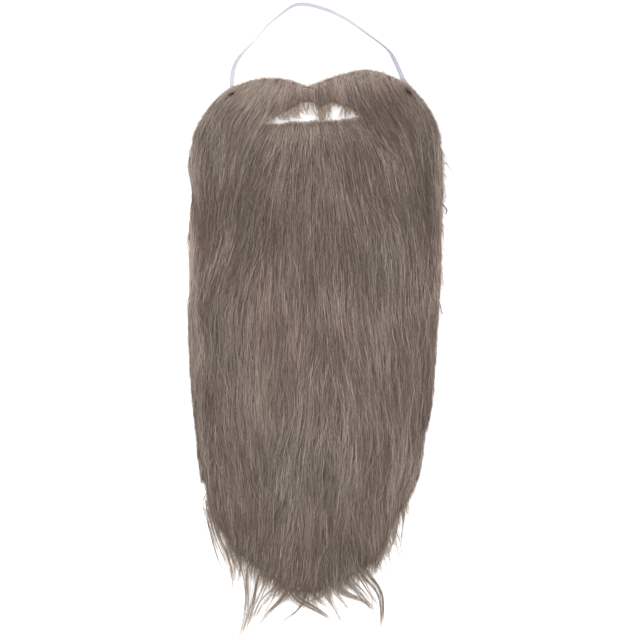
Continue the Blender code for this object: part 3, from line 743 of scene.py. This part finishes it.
# Hair material: the lane of u is the hue, the place in the lane the tone, and v runs from root to tip, along
# which painted shade darkens the root and painted light brightens the tip
hair_material, tree, shader = new_material("hair", (0.2, 0.15, 0.12), 0.55, 0.25)
split = split_place(tree, node(tree, "ShaderNodeUVMap", uv_map="OFBake").outputs["UV"])
scaled = maths(tree, "MULTIPLY", split["X"], float(LANES))
lane_value = maths(tree, "FLOOR", scaled)
hue_value = maths(tree, "DIVIDE", lane_value, float(LANES - 2))
tone_value = maths(tree, "FRACT", scaled)
COOL = [(0.0, (0.070, 0.057, 0.044)), (0.5, (0.214, 0.175, 0.143)), (1.0, (0.610, 0.520, 0.450))]
WARM = [(0.0, (0.086, 0.058, 0.047)), (0.5, (0.256, 0.177, 0.149)), (1.0, (0.660, 0.525, 0.460))]
SANDY = [(0.0, (0.120, 0.086, 0.058)), (0.5, (0.360, 0.278, 0.200)), (1.0, (0.700, 0.590, 0.470))]
body_colour = mixed(tree, "MIX", hue_value, ramp(tree, tone_value, COOL), ramp(tree, tone_value, WARM))
is_sandy = maths(tree, "GREATER_THAN", lane_value, LANES - 1.5)
body_colour = mixed(tree, "MIX", is_sandy, body_colour, ramp(tree, tone_value, SANDY))
# Darker at the root with painted shade from the hair above it, lighter and warmer at the tip with painted
# light of the white ground through it
ROOT_SHADE_TO_TIP_LIGHT = [(0.0, (0.62, 0.60, 0.58)), (0.22, (1.0, 1.0, 1.0)), (0.7, (1.03, 1.02, 1.0))]
ROOT_SHADE_TO_TIP_LIGHT += [(1.0, (1.30, 1.26, 1.18))]
shade = ramp(tree, split["Y"], ROOT_SHADE_TO_TIP_LIGHT)
tree.links.new(mixed(tree, "MULTIPLY", 1.0, body_colour, shade), shader.inputs["Base Color"])
shader.inputs["Sheen Weight"].default_value = 0.12
shader.inputs["Sheen Roughness"].default_value = 0.4


def rows_between(low_py, high_py, low_x=-1.0, high_x=1.0):
    """A test for places between two pixel rows, and between two x in metres."""
    high_y, low_y = row_y(low_py), row_y(high_py)
    return lambda x, y: (y <= high_y) & (y > low_y) & (x > low_x) & (x < high_x)


LONG = ((30, 72), (0.19, 0.58), 4, 1.9, 0.0026, (0.2, 0.9), 0.12)
GROWN = (
    # name, seed, spacing, pixel rows, lengths and widths in mm, rings, lift in mm, spacing of locks, pull
    # into locks, share of stray hairs, then lightness, turn in degrees and curl where they aren't the usual
    ("long_hair_1", 101, 0.00185, (60, 190), *LONG),
    ("long_hair_2", 102, 0.00185, (190, 300), *LONG),
    ("long_hair_3", 103, 0.00185, (300, 410), *LONG),
    ("long_hair_4", 104, 0.00185, (410, 660), *LONG),
    ("short_hair", 120, 0.00135, (60, 135), (12, 30), (0.18, 0.42), 3, 1.2, 0.0024, (0.2, 0.8), 0.2, 0,
     11, 1.5),
    ("curling_hair", 122, 0.0031, (60, 215), (8, 20), (0.20, 0.32), 4, 2.1, 0.02, (0, 0.1), 1, 0.09, 26, 2.4),
    ("loose_hair", 121, 0.0041, (215, 660), (10, 30), (0.20, 0.30), 3, 1.4, 0.02, (0, 0.1), 1, 0.04, 17),
)
made = []
for name, seed, spacing, rows, *values in GROWN:
    made.append(strand_piece(name, grow(seed, spacing, rows_between(*rows), *values)))

# Loose wisps round the lower end, by photo pixels: five points from the mat to the tip, how many strands, the
# spread of their roots and of their tips in millimetres, and their tone
WISPS = (
    # x1, y1, x2, y2, x3, y3, x4, y4, x5, y5, strands, spread, tip, light
    (252, 556, 250, 575, 249, 598, 246, 621, 238, 643, 32, 3.4, 1.4, -0.02),
    (258, 570, 255, 588, 252, 603, 249, 620, 244, 636, 22, 2.6, 1.4, 0.02),
    (272, 568, 267, 582, 259, 601, 252, 617, 248, 626, 20, 3, 1.4, 0.02),
    (284, 574, 278, 588, 263, 601, 255, 616, 252, 624, 24, 3.2, 1.4, -0.04),
    (291, 580, 284, 594, 276, 604, 265, 616, 255, 628, 26, 2.6, 0.9, -0.02),
    (294, 584, 287, 596, 280, 604, 273, 609, 266, 614, 14, 2.2, 1.4, 0.04),
    (288, 574, 294, 594, 302, 602, 314, 608, 330, 619, 60, 4.6, 0.6, -0.12),
    (305, 586, 303, 600, 296, 611, 286, 618, 277, 624, 16, 2.2, 0.8, 0),
    (326, 584, 322, 595, 313, 599, 306, 603, 299, 606, 14, 2, 1, 0),
    (322, 580, 326, 595, 331, 603, 337, 613, 342, 624, 20, 2.4, 0.8, -0.02),
    (330, 580, 336, 593, 341, 600, 345, 605, 350, 611, 18, 2.4, 0.8, 0),
    (328, 574, 338, 588, 350, 596, 362, 600, 372, 609, 44, 3.8, 0.9, -0.04),
    (340, 568, 348, 582, 358, 591, 366, 601, 374, 609, 32, 3, 1, -0.02),
    (352, 562, 359, 574, 365, 584, 373, 597, 380, 607, 30, 3, 1, 0),
    (358, 562, 367, 576, 377, 587, 382, 602, 381, 626, 56, 4.2, 0.7, -0.1),
    (372, 590, 373, 605, 374, 616, 375, 626, 376, 639, 7, 1.6, 0.9, 0.08),
    (374, 556, 379, 565, 385, 572, 392, 577, 401, 581, 6, 1.2, 0.6, 0.05),
    (387, 530, 385, 544, 381, 558, 376, 567, 373, 577, 30, 2.8, 1.4, 0),
    (396, 500, 397, 520, 394, 537, 388, 552, 384, 562, 24, 2.6, 1.6, 0.02),
    (402, 498, 403, 515, 403, 527, 402, 535, 402, 545, 20, 1.8, 0.8, 0),
    (392, 520, 393, 534, 395, 546, 397, 556, 401, 566, 12, 2.2, 2, 0.06),
    (388, 535, 389, 548, 392, 560, 393, 570, 396, 582, 8, 2.4, 2.4, 0.08),
    (205, 495, 207, 512, 211, 530, 216, 545, 222, 558, 20, 2.4, 2, 0.04),
    (207, 505, 209, 522, 214, 545, 221, 566, 228, 585, 14, 2.6, 2.2, 0.1),
    (222, 540, 228, 556, 231, 572, 232, 588, 231, 602, 14, 2.4, 1.8, 0.1),
    (230, 548, 236, 564, 240, 576, 243, 588, 245, 600, 7, 2.2, 1.6, 0.1),
    (394, 525, 398, 536, 401, 548, 402, 560, 402, 570, 8, 2.2, 2.2, 0.12),
    (346, 576, 356, 586, 364, 594, 369, 604, 372, 616, 16, 2.8, 1.8, 0.06),
    (276, 578, 274, 590, 270, 600, 264, 610, 258, 620, 16, 2.6, 1.8, 0.06),
    (209, 500, 212, 520, 219, 541, 228, 562, 234, 580, 22, 2.4, 1.8, 0),
    (216, 515, 219, 532, 226, 550, 231, 566, 234, 582, 20, 2.2, 1.6, 0),
    (224, 530, 228, 548, 233, 562, 235, 574, 234, 586, 18, 2.2, 1.6, 0.02),
    (234, 545, 238, 560, 241, 571, 244, 584, 246, 601, 20, 2.2, 1, 0.02),
    (240, 552, 241, 566, 240, 574, 238, 583, 237, 590, 14, 2.2, 1.4, 0.04),
    (262, 566, 260, 578, 257, 588, 256, 596, 254, 606, 14, 2.4, 1.2, 0.06),
    (312, 584, 316, 594, 320, 600, 326, 606, 331, 613, 14, 2.2, 1.2, 0.02),
    (236, 548, 234, 562, 230, 574, 226, 584, 224, 592, 6, 1.6, 2, 0.08),
)

# Single stray hairs off the edges, by photo pixels
STRAYS = (
    # x1, y1, x2, y2, x3, y3, x4, y4, strands
    (440, 158, 446, 163, 452, 172, 462, 179, 3), (441, 160, 449, 165, 455, 178, 456, 186, 2),
    (440, 152, 447, 156, 454, 162, 458, 170, 2), (440, 148, 443, 154, 447, 158, 446, 164, 4),
    (441, 172, 446, 177, 449, 184, 447, 191, 3), (441, 186, 445, 192, 446, 199, 444, 205, 4),
    (441, 204, 445, 207, 447, 211, 445, 216, 22), (440, 226, 443, 234, 443, 243, 441, 252, 4),
    (438, 300, 441, 308, 441, 316, 439, 324, 3), (439, 262, 442, 272, 443, 284, 440, 296, 4),
    (190, 296, 187, 304, 188, 314, 190, 322, 2), (440, 222, 445, 228, 449, 235, 451, 241, 2),
    (441, 247, 446, 253, 450, 259, 453, 264, 3), (440, 263, 444, 269, 448, 273, 450, 277, 2),
    (438, 304, 441, 309, 443, 315, 444, 322, 2), (192, 226, 188, 238, 187, 250, 189, 262, 3),
    (402, 500, 407, 508, 410, 518, 411, 524, 2), (206, 492, 203, 502, 204, 512, 207, 522, 3),
    (384, 556, 388, 570, 396, 578, 400, 584, 2), (330, 590, 334, 604, 343, 616, 344, 624, 2),
)
PATH_PARTS = 40


def bundle(seed, rows, points, strays=False):
    """Strands along the rows of a table of pixel places, drawn together towards the tip."""
    rng = np.random.default_rng(seed)
    centres, widths, tones, hues = [], [], [], []
    for row in rows:
        spots = np.array([at_pixel(*row[2 * k : 2 * k + 2]) for k in range(4 if strays else 5)])
        if not strays:
            spots[-1] += 0.35 * (spots[-1] - spots[-2])
        count = int(1.6 * row[-1]) if strays else int(1.35 * row[10])
        locks = count if strays else max(4, count // 5)
        lock_root, lock_tip = rng.normal(0, 0.5, locks), rng.normal(0, 0.5, locks)
        lock_sway, lock_phase = rng.normal(0, 0.3, locks), rng.uniform(0, 6, locks)
        lock_tone = rng.normal(0, 0.09, locks)
        spread, tip = (0.5, 1.2) if strays else (1.45 * row[11], 1.9 * row[12])
        path = smooth_rows(spots, PATH_PARTS)
        heading = np.gradient(path, axis=0)
        heading /= np.linalg.norm(heading, axis=1)[:, None]
        normal = np.column_stack([-heading[:, 1], heading[:, 0]])
        for n in range(count):
            lock = n % locks
            start = rng.uniform(0.0, 0.22)
            end = rng.uniform(0.84, 1.0) if rng.random() < 0.7 else rng.uniform(0.5, 0.84)
            t = start + (end - start) * np.linspace(0, 1, points)
            at = t * PATH_PARTS
            k = np.minimum(at.astype(int), PATH_PARTS - 1)
            f = (at - k)[:, None]
            middle = path[k] * (1 - f) + path[k + 1] * f
            wander = lock_sway[lock] * np.sin(t * 3.5 + lock_phase[lock])
            wander = wander + rng.normal(0, 0.12) * np.sin(t * 5 + lock)
            root_off = (lock_root[lock] + rng.normal(0, 0.09)) * spread
            tip_off = (lock_tip[lock] + rng.normal(0, 0.12)) * tip
            reach = (root_off * (1 - t) ** 0.8 + tip_off * t**1.5 + wander) * MM
            spot = middle + normal[k] * reach[:, None]
            ground = look(surface, spot[:, 0], spot[:, 1])
            high = ground + rng.uniform(0.1, 1.1) * MM * (1 - 0.6 * t)
            high[0] -= 1.2 * MM
            z = high * (1 - ease((t - 0.35) / 0.6)) + rng.uniform(0.25, 1.6) * MM * ease(t * 1.2)
            centres.append(np.column_stack([spot, np.maximum(z, 0.0003)]))
            wide = rng.uniform(0.18, 0.28) if strays else rng.uniform(0.13, 0.22)
            widths.append(wide * MM * (1 - 0.55 * np.linspace(0, 1, points)[:-1] ** 2))
            tone = 0.53 + (0.05 if strays else row[13]) + lock_tone[lock] + rng.normal(0, 0.08)
            # Lighter towards the tip: painted light of the white ground through the thin wisps
            tones.append(tone + 0.22 * t - 0.10)
            hues.append(SANDY_HUE if rng.random() < 0.35 else min(0.66 + rng.normal(0, 0.12), 0.999))
    turns = rng.uniform(0, FULL_TURN, len(centres))
    return [np.array(centres), np.array(widths), turns, tones, np.maximum(hues, 0.0)]


made.append(strand_piece("tail_wisps", bundle(140, WISPS, 6)))
made.append(strand_piece("stray_hairs", bundle(141, STRAYS, 6, strays=True)))


def edge_places(field, wanted, rng, count, inset):
    """Places along the rim of the hair where it meets what is wanted, and the way out of the hair there."""
    near = soften(kind == field, 1.2)
    j, i = np.nonzero((kind == HAIR) & (near > 0.12))
    keep = wanted(grid_x[i], grid_y[j])
    j, i = j[keep], i[keep]
    pick = rng.integers(0, j.size, count)
    x = grid_x[i[pick]] + rng.uniform(-0.7, 0.7, count) * MM
    y = grid_y[j[pick]] + rng.uniform(-0.7, 0.7, count) * MM
    slope_y, slope_x = np.gradient(soften(kind == HAIR, 2.5))
    out = -np.stack([look(slope_x, x, y), look(slope_y, x, y)], axis=1)
    out /= np.maximum(np.linalg.norm(out, axis=1), 1e-9)[:, None]
    inset = rng.uniform(*inset, count) * MM
    return x - out[:, 0] * inset, y - out[:, 1] * inset, out


def fuzz(seed, count, field, wanted, lengths, widths, outward, along, spread, rings, light_shift, high, inset,
         sandy=0.0):
    """Fine short hairs along a rim. outward and along weigh the way out and the hair's own direction."""
    rng = np.random.default_rng(seed)
    x, y, out = edge_places(field, wanted, rng, count, inset)
    angle = look(flow, x, y)
    course = np.stack([np.sin(angle), -np.cos(angle)], axis=1)
    course = course * along + out * (outward * rng.uniform(0.5, 1.2, count))[:, None]
    turn = np.arctan2(course[:, 1], course[:, 0]) + np.radians(rng.normal(0, spread, count))
    bend = np.radians(rng.normal(0, spread * 0.8, count))
    length = rng.uniform(*lengths, count) * MM
    points = [np.stack([x, y], axis=1)]
    for k in range(rings):
        turned = turn + bend * (k + 0.5) / rings
        step = np.stack([np.cos(turned), np.sin(turned)], axis=1) * (length / rings)[:, None]
        points.append(points[-1] + step)
    spot = np.stack(points, axis=1)
    ground = look(surface, spot[:, :, 0], spot[:, :, 1])
    base = look(surface, x, y) * rng.uniform(*high, count)
    t = np.linspace(0, 1, rings + 1)[None, :]
    z = np.maximum(base[:, None] * (1 - 0.35 * t), ground * 0.2) + 0.0003
    z[:, 0] = np.maximum(z[:, 0] - 0.0004, 0.0003)
    tone = 0.46 + light_shift + look(light, x, y) * 0.5 + rng.normal(0, 0.10, count)
    hue = np.clip(0.55 + 0.25 * look(warm, x, y) + rng.normal(0, 0.10, count), 0, 0.999)
    hue = np.where(rng.random(count) < sandy, SANDY_HUE, hue)
    shares = np.linspace(0, 1, rings + 1)[:-1]
    width = rng.uniform(*widths, count)[:, None] * MM * (1 - 0.75 * shares**1.5)[None, :]
    turns = rng.uniform(0, FULL_TURN, count)
    keep = np.full(count, True)
    if field != PIT:
        for share in np.linspace(0.1, 1, 10):
            passed = spot[:, 0] + (spot[:, -1] - spot[:, 0]) * share
            keep &= nearest(kind, passed[:, 0], passed[:, 1]) != PIT
    return [np.dstack([spot, z])[keep], width[keep], turns[keep], tone[keep], hue[keep]]


TOP = rows_between(0, 140)
NOTCH = rows_between(0, 100, -0.0208, 0.0072)
SIDES = rows_between(140, 500)
RIGHT = rows_between(132, 235, 0.09)
LOW = rows_between(500, 700)
ABOVE, UNDER = rows_between(0, 118), rows_between(118, 200)
# Most rim hairs are set lighter than the body's hair: painted light of the white ground through them
FUZZ = (
    # name, seed, strands, what the rim borders on, region, lengths and widths in mm, way out, own direction,
    # spread in degrees, rings, lightness, height by the mat's, way in from the rim in mm, share of sandy
    ("top_fuzz", 150, 3600, OUTSIDE, TOP, (1.6, 5.4), (0.13, 0.22), 1, 0.5, 44, 2, 0.20, (0.15, 1.05),
     (0, 3), 0.12),
    ("top_combed", 156, 3900, OUTSIDE, TOP, (3, 8), (0.18, 0.32), 0.15, 1, 18, 2, 0.12, (0.6, 1.08),
     (-0.3, 3.6)),
    ("notch_hairs", 159, 220, OUTSIDE, NOTCH, (3, 9), (0.18, 0.32), 0, 1, 14, 2, 0.16, (0.85, 1.08),
     (-0.3, 4)),
    ("side_fuzz", 151, 2300, OUTSIDE, SIDES, (2.5, 8), (0.13, 0.24), 0.35, 1, 16, 3, 0.18, (0.2, 1),
     (0, 3), 0.25),
    ("right_edge_fuzz", 158, 620, OUTSIDE, RIGHT, (4, 9), (0.15, 0.26), 0.5, 1, 26, 3, 0.26, (0.2, 1),
     (-0.2, 5)),
    ("tack_hairs", 157, 150, PIT, rows_between(0, 350), (1.2, 2.6), (0.14, 0.24), 0, 1, 20, 2, -0.04,
     (0.95, 1.1), (-0.3, 0.8)),
    ("lower_fuzz", 152, 2800, OUTSIDE, LOW, (4, 19), (0.15, 0.30), 0.15, 1, 10, 3, 0.16, (0.2, 1), (0, 3),
     0.5),
    ("slit_lower_fuzz", 153, 1100, SLIT, UNDER, (2, 6), (0.18, 0.32), 0.05, 1, 16, 2, 0.24, (0.9, 1.05),
     (-0.5, 1.2)),
    ("slit_upper_fuzz", 154, 500, SLIT, ABOVE, (1.5, 5), (0.12, 0.2), 0.1, 1, 26, 3, 0.16, (0.1, 0.9),
     (0, 3)),
)

# Thin curling hairs that hang over the mouth slit, by photo pixels
FRINGE = (
    # from px, to px, strands, the row that they reach at each end, its spread, lean and curl in degrees, tone
    (262, 270, 28, 121, 119.5, 1.6, -10, 50, 0.66), (270, 284, 60, 118.5, 117, 2.2, 4, 50, 0.64),
    (263, 284, 56, 122, 121, 1.6, 8, 70, 0.68), (280, 290, 40, 117.5, 115.5, 2.4, 5, 42, 0.66),
    (282, 303, 84, 120, 118.5, 2.2, 22, 64, 0.72), (290, 298, 26, 120.5, 120, 1.5, 10, 60, 0.72),
    (289, 297, 58, 114.5, 112.5, 3.6, 14, 45, 0.68), (296, 303, 42, 112, 109.5, 3, 14, 45, 0.7),
    (301.5, 304, 14, 115, 113, 3, 8, 30, 0.66), (304, 307.5, 6, 106, 105, 1.5, 8, 30, 0.7),
    (307.5, 310, 16, 113.5, 111.5, 2.4, 6, 24, 0.64), (310, 315.5, 8, 105, 105.5, 1.4, 5, 40, 0.66),
    (309, 316, 14, 116, 118, 3, 0, 60, 0.7), (315, 318, 26, 109, 114, 1.5, 0, 40, 0.62),
    (317.5, 326, 70, 120.5, 120, 2.2, 2, 42, 0.6), (316, 325, 16, 110.5, 110.5, 1, 0, 20, 0.55),
    (323, 331, 60, 119, 114.5, 2, -24, 40, 0.62), (326, 333, 24, 117.5, 113, 2, -16, 40, 0.64),
    (328, 335, 76, 113.5, 105.5, 1, -4, 24, 0.6), (335, 342.5, 40, 105.5, 110, 1, 8, 24, 0.6),
    (341.8, 343.6, 14, 118, 118, 1.5, 4, 16, 0.6), (341, 348, 16, 117, 117, 2, 6, 40, 0.64),
    (343, 348, 28, 111, 113, 1.2, 8, 30, 0.64), (347, 350.6, 26, 116.5, 117, 1.4, 6, 30, 0.6),
    (350, 354, 10, 113.5, 114.5, 1, 8, 30, 0.66), (353, 361, 40, 115, 117, 1.4, 10, 40, 0.64),
)


def slit_fringe(seed, rings):
    """Strands by the rows of FRINGE, in thin locks, each bending down and into the slit."""
    rng = np.random.default_rng(seed)
    spots, widths, tones = [], [], []
    for low_px, high_px, count, low_row, high_row, spread, lean, curl, tone in FRINGE:
        locks = max(3, count // 4)
        lock_px, lock_reach = rng.uniform(low_px, high_px, locks), rng.normal(0, spread, locks)
        lock_turn, lock_bend = rng.normal(0, 16, locks), rng.normal(0, curl, locks)
        for n in range(count):
            lock = n % locks
            px = np.clip(lock_px[lock] + rng.normal(0, 0.22), low_px, high_px)
            x = at_pixel(px, 0)[0]
            column = int(round((x - LOW_X) / CELL))
            open_rows = np.flatnonzero(kind[:, column] == SLIT)
            rim = grid_y[open_rows[-1]] if open_rows.size else row_y(119)
            y = rim + rng.uniform(0.3, 3.0) * MM
            reached = np.interp(px, (low_px, high_px), (low_row, high_row)) + lock_reach[lock]
            reached = reached + rng.normal(0, 0.5)
            length = max(y - row_y(reached), 1.2 * MM) * 1.05
            turn = math.radians(lean + lock_turn[lock] + rng.normal(0, 3))
            bend = math.radians(lock_bend[lock] + rng.normal(0, 6))
            z = look(surface, x, y + 0.002) * rng.uniform(0.5, 1.05)
            line = [(x, y, z)]
            for k in range(rings):
                turned = turn + bend * (k / rings) ** 1.3
                step = length / rings
                x, y = x + math.sin(turned) * step, y - math.cos(turned) * step
                z = max(0.0004, z - 0.28 * step * rng.uniform(0.4, 1.2))
                line.append((x, y, z))
            spots.append(line)
            widths.append(rng.uniform(0.24, 0.40) * MM * (1 - 0.5 * (np.arange(rings) / rings) ** 2))
            # The lift of 0.20 is painted light: the white slit shining through these thin hairs
            tones.append(tone + 0.20 + rng.normal(0, 0.12))
    turns = rng.uniform(0, FULL_TURN, len(spots))
    hues = np.where(rng.random(len(spots)) < 0.45, SANDY_HUE, 0.8)
    return [np.array(spots), np.array(widths), turns, tones, hues]


made.append(strand_piece("slit_fringe", slit_fringe(155, 4)))
made += [strand_piece(name, fuzz(*values)) for name, *values in FUZZ]
for piece in made:
    wear(piece, hair_material)

# Under the strands: the mat itself as a closed sheet of roots, with the model's hollow underside, coloured
# darker than the strands with painted shade between them
below = np.where(covered, heights(-0.1, 1), 0.0)
ROOT_CELL = 0.0029
ROOT_DENSITY = 0.56
ROOTS_UNDER = 0.0014
THINNEST = 0.0003
RIM_LEVEL = 0.78
ux, uy = np.meshgrid(np.arange(grid_x[0], grid_x[-1], ROOT_CELL), np.arange(grid_y[0], grid_y[-1], ROOT_CELL))
inside = (look(dense, ux, uy) > ROOT_DENSITY) & (nearest(kind, ux, uy) == HAIR)
cells = inside[:-1, :-1] & inside[1:, :-1] & inside[:-1, 1:] & inside[1:, 1:]
used = np.zeros_like(inside)
for dj in (0, 1):
    for di in (0, 1):
        used[dj : dj + cells.shape[0], di : di + cells.shape[1]] |= cells
number = -np.ones(used.shape, dtype=int)
number[used] = np.arange(used.sum())
root_x, root_y = ux[used], uy[used]
ridges = 0.00025 * look(noise_map(3, 31), root_x, root_y)
top_z = np.maximum(look(surface, root_x, root_y) - ROOTS_UNDER + ridges, 0.0007)
low_z = nearest(below, root_x, root_y)
top_z = np.maximum(top_z, low_z + THINNEST)
count = root_x.size
vertices = np.concatenate([np.stack([root_x, root_y, top_z], 1), np.stack([root_x, root_y, low_z], 1)])
faces, edges = [], {}
for j, i in zip(*np.nonzero(cells)):
    a, b, c, d = number[j, i], number[j, i + 1], number[j + 1, i + 1], number[j + 1, i]
    faces += [(a, b, c), (a, c, d), (a + count, c + count, b + count), (a + count, d + count, c + count)]
    for pair in ((a, b), (b, c), (c, d), (d, a)):
        if pair[::-1] in edges:
            del edges[pair[::-1]]
        else:
            edges[pair] = True
for a, b in edges:
    faces += [(b, a, a + count), (b, a + count, b + count)]
rim_y, rim_x = np.gradient(inner, CELL)
at_rim = np.unique(np.array(list(edges)).ravel())
for _ in range(4):
    x, y = vertices[at_rim, 0], vertices[at_rim, 1]
    slope_x, slope_y = look(rim_x, x, y), look(rim_y, x, y)
    steep = np.maximum(np.hypot(slope_x, slope_y), 60.0)
    reach = np.clip((RIM_LEVEL - look(inner, x, y)) / steep, -0.0012, 0.0012) / steep
    for rows in (at_rim, at_rim + count):
        vertices[rows, 0] = x + slope_x * reach
        vertices[rows, 1] = y + slope_y * reach
under = new_mesh_object("fur_roots", vertices, faces)
root_material, tree, shader = new_material("hair_roots_with_painted_shade", (0.09, 0.07, 0.06), 0.8, 0.1)
stretched = node(tree, "ShaderNodeMapping")
stretched.inputs["Scale"].default_value = (900.0, 60.0, 300.0)
tree.links.new(object_place(tree), stretched.inputs["Vector"])
root_streaks = noise(tree, stretched.outputs["Vector"], 1.0, 4.0)
# A brown darker than the strands': the roots' own colour with painted shade of the gaps between the strands
coloured_by(tree, shader, root_streaks, [(0.3, (0.105, 0.081, 0.068)), (0.7, (0.200, 0.158, 0.132))])
add_bump(tree, shader, root_streaks, 0.8, 0.0006)
wear(under, root_material)
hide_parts("fur_pile")


# The knitted ground cloth: the model's sheet with rolled edges
ROLLED_EDGE = 0.00045
mesh = bmesh.new()
mesh.from_mesh(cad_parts["knit_backing"].data)
bmesh.ops.dissolve_limit(mesh, angle_limit=math.radians(1), verts=mesh.verts, edges=mesh.edges)
sharp = [e for e in mesh.edges if len(e.link_faces) == 2 and e.calc_face_angle(0.0) > math.radians(60)]
rims = [e for e in sharp if abs(e.verts[0].co.z - e.verts[1].co.z) < 0.0002]
bmesh.ops.bevel(
    mesh, geom=rims, offset=ROLLED_EDGE, segments=3, profile=0.6, affect="EDGES", clamp_overlap=True
)
bmesh.ops.triangulate(mesh, faces=mesh.faces)
cloth_data = bpy.data.meshes.new("knit_cloth")
mesh.to_mesh(cloth_data)
mesh.free()
cloth = add_object("knit_cloth", cloth_data)
knit, tree, shader = new_material("knit", (0.25, 0.205, 0.175), 0.9, 0.2)
COLUMN_STEP, COURSE_STEP = 0.0014, 0.0011
place = split_place(tree, object_place(tree))
columns = maths(tree, "SINE", maths(tree, "MULTIPLY", place["X"], FULL_TURN / COLUMN_STEP))
slope = maths(tree, "MULTIPLY", maths(tree, "ABSOLUTE", columns), 1.6)
courses = maths(tree, "MULTIPLY", place["Y"], FULL_TURN / COURSE_STEP)
courses = maths(tree, "SINE", maths(tree, "ADD", courses, slope))
stitches = maths(tree, "MULTIPLY", maths(tree, "ADD", columns, courses), 0.25)
level = maths(tree, "ADD", stitches, 0.5)
# Darker in the hollows between the stitches: painted shade over the yarn's own brown
coloured_by(tree, shader, level, [(0.15, (0.13, 0.105, 0.09)), (0.8, (0.29, 0.24, 0.205))])
add_bump(tree, shader, level, 0.7, 0.0004)
wear(cloth, knit)
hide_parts("knit_backing")


# The tacks: turns of dark thread round each end of the elastic
THREAD_RADIUS = 0.00017


def thread_turns(name, x, y, turn, wide, reach, seed):
    """Closed flat loops of thread, side by side, over one end of the elastic and through the cloth."""
    rng = np.random.default_rng(seed)
    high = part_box(name)[1]
    along = np.array([math.cos(math.radians(turn)), math.sin(math.radians(turn))])
    side = np.array([-along[1], along[0]])
    top, bottom = high[2] - 0.0003, 0.00035
    turns, points, corners = 8, 28, 6
    vertices, faces = [], []
    for n in range(turns):
        shift = (-0.5 + (n + 0.5) / turns) * wide
        lean = rng.uniform(-0.00025, 0.00025)
        ring = []
        for k in range(points):
            a = FULL_TURN * k / points
            u = math.copysign(abs(math.cos(a)) ** 0.45, math.cos(a)) * (reach + rng.uniform(-1, 1) * 0.00005)
            v = math.copysign(abs(math.sin(a)) ** 0.45, math.sin(a))
            z = (top + bottom) / 2 + v * (top - bottom) / 2 - (0.0003 * (n % 2) if v > 0 else 0)
            offset = shift + lean * u / reach
            ring.append(Vector((*(np.array([x, y]) + along * u + side * offset), z)))
        base = len(vertices)
        for k, spot in enumerate(ring):
            forward = (ring[(k + 1) % points] - ring[k - 1]).normalized()
            sideways = Vector((*side, 0.0))
            upward = forward.cross(sideways).normalized()
            for c in range(corners):
                b = FULL_TURN * c / corners + 0.8 * k
                vertices.append(spot + (sideways * math.cos(b) + upward * math.sin(b)) * THREAD_RADIUS)
        for k in range(points):
            for c in range(corners):
                d = (c + 1) % corners
                a0, a1 = base + k * corners, base + ((k + 1) % points) * corners
                faces += [(a0 + c, a0 + d, a1 + d), (a0 + c, a1 + d, a1 + c)]
    return new_mesh_object(name + "_thread", [tuple(v) for v in vertices], faces)


thread, tree, shader = new_material("thread", (0.035, 0.022, 0.018), 0.7, 0.25)
plies = noise(tree, object_place(tree), 2600.0)
coloured_by(tree, shader, plies, [(0.3, (0.034, 0.022, 0.020)), (0.7, (0.090, 0.062, 0.054))])
for number, (name, x, y, turn, _, _, wide, reach) in enumerate(TACKS):
    tack = facing_out(thread_turns(name, x, y, turn, wide, reach, 60 + number))
    wear(tack, thread)
    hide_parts(name)
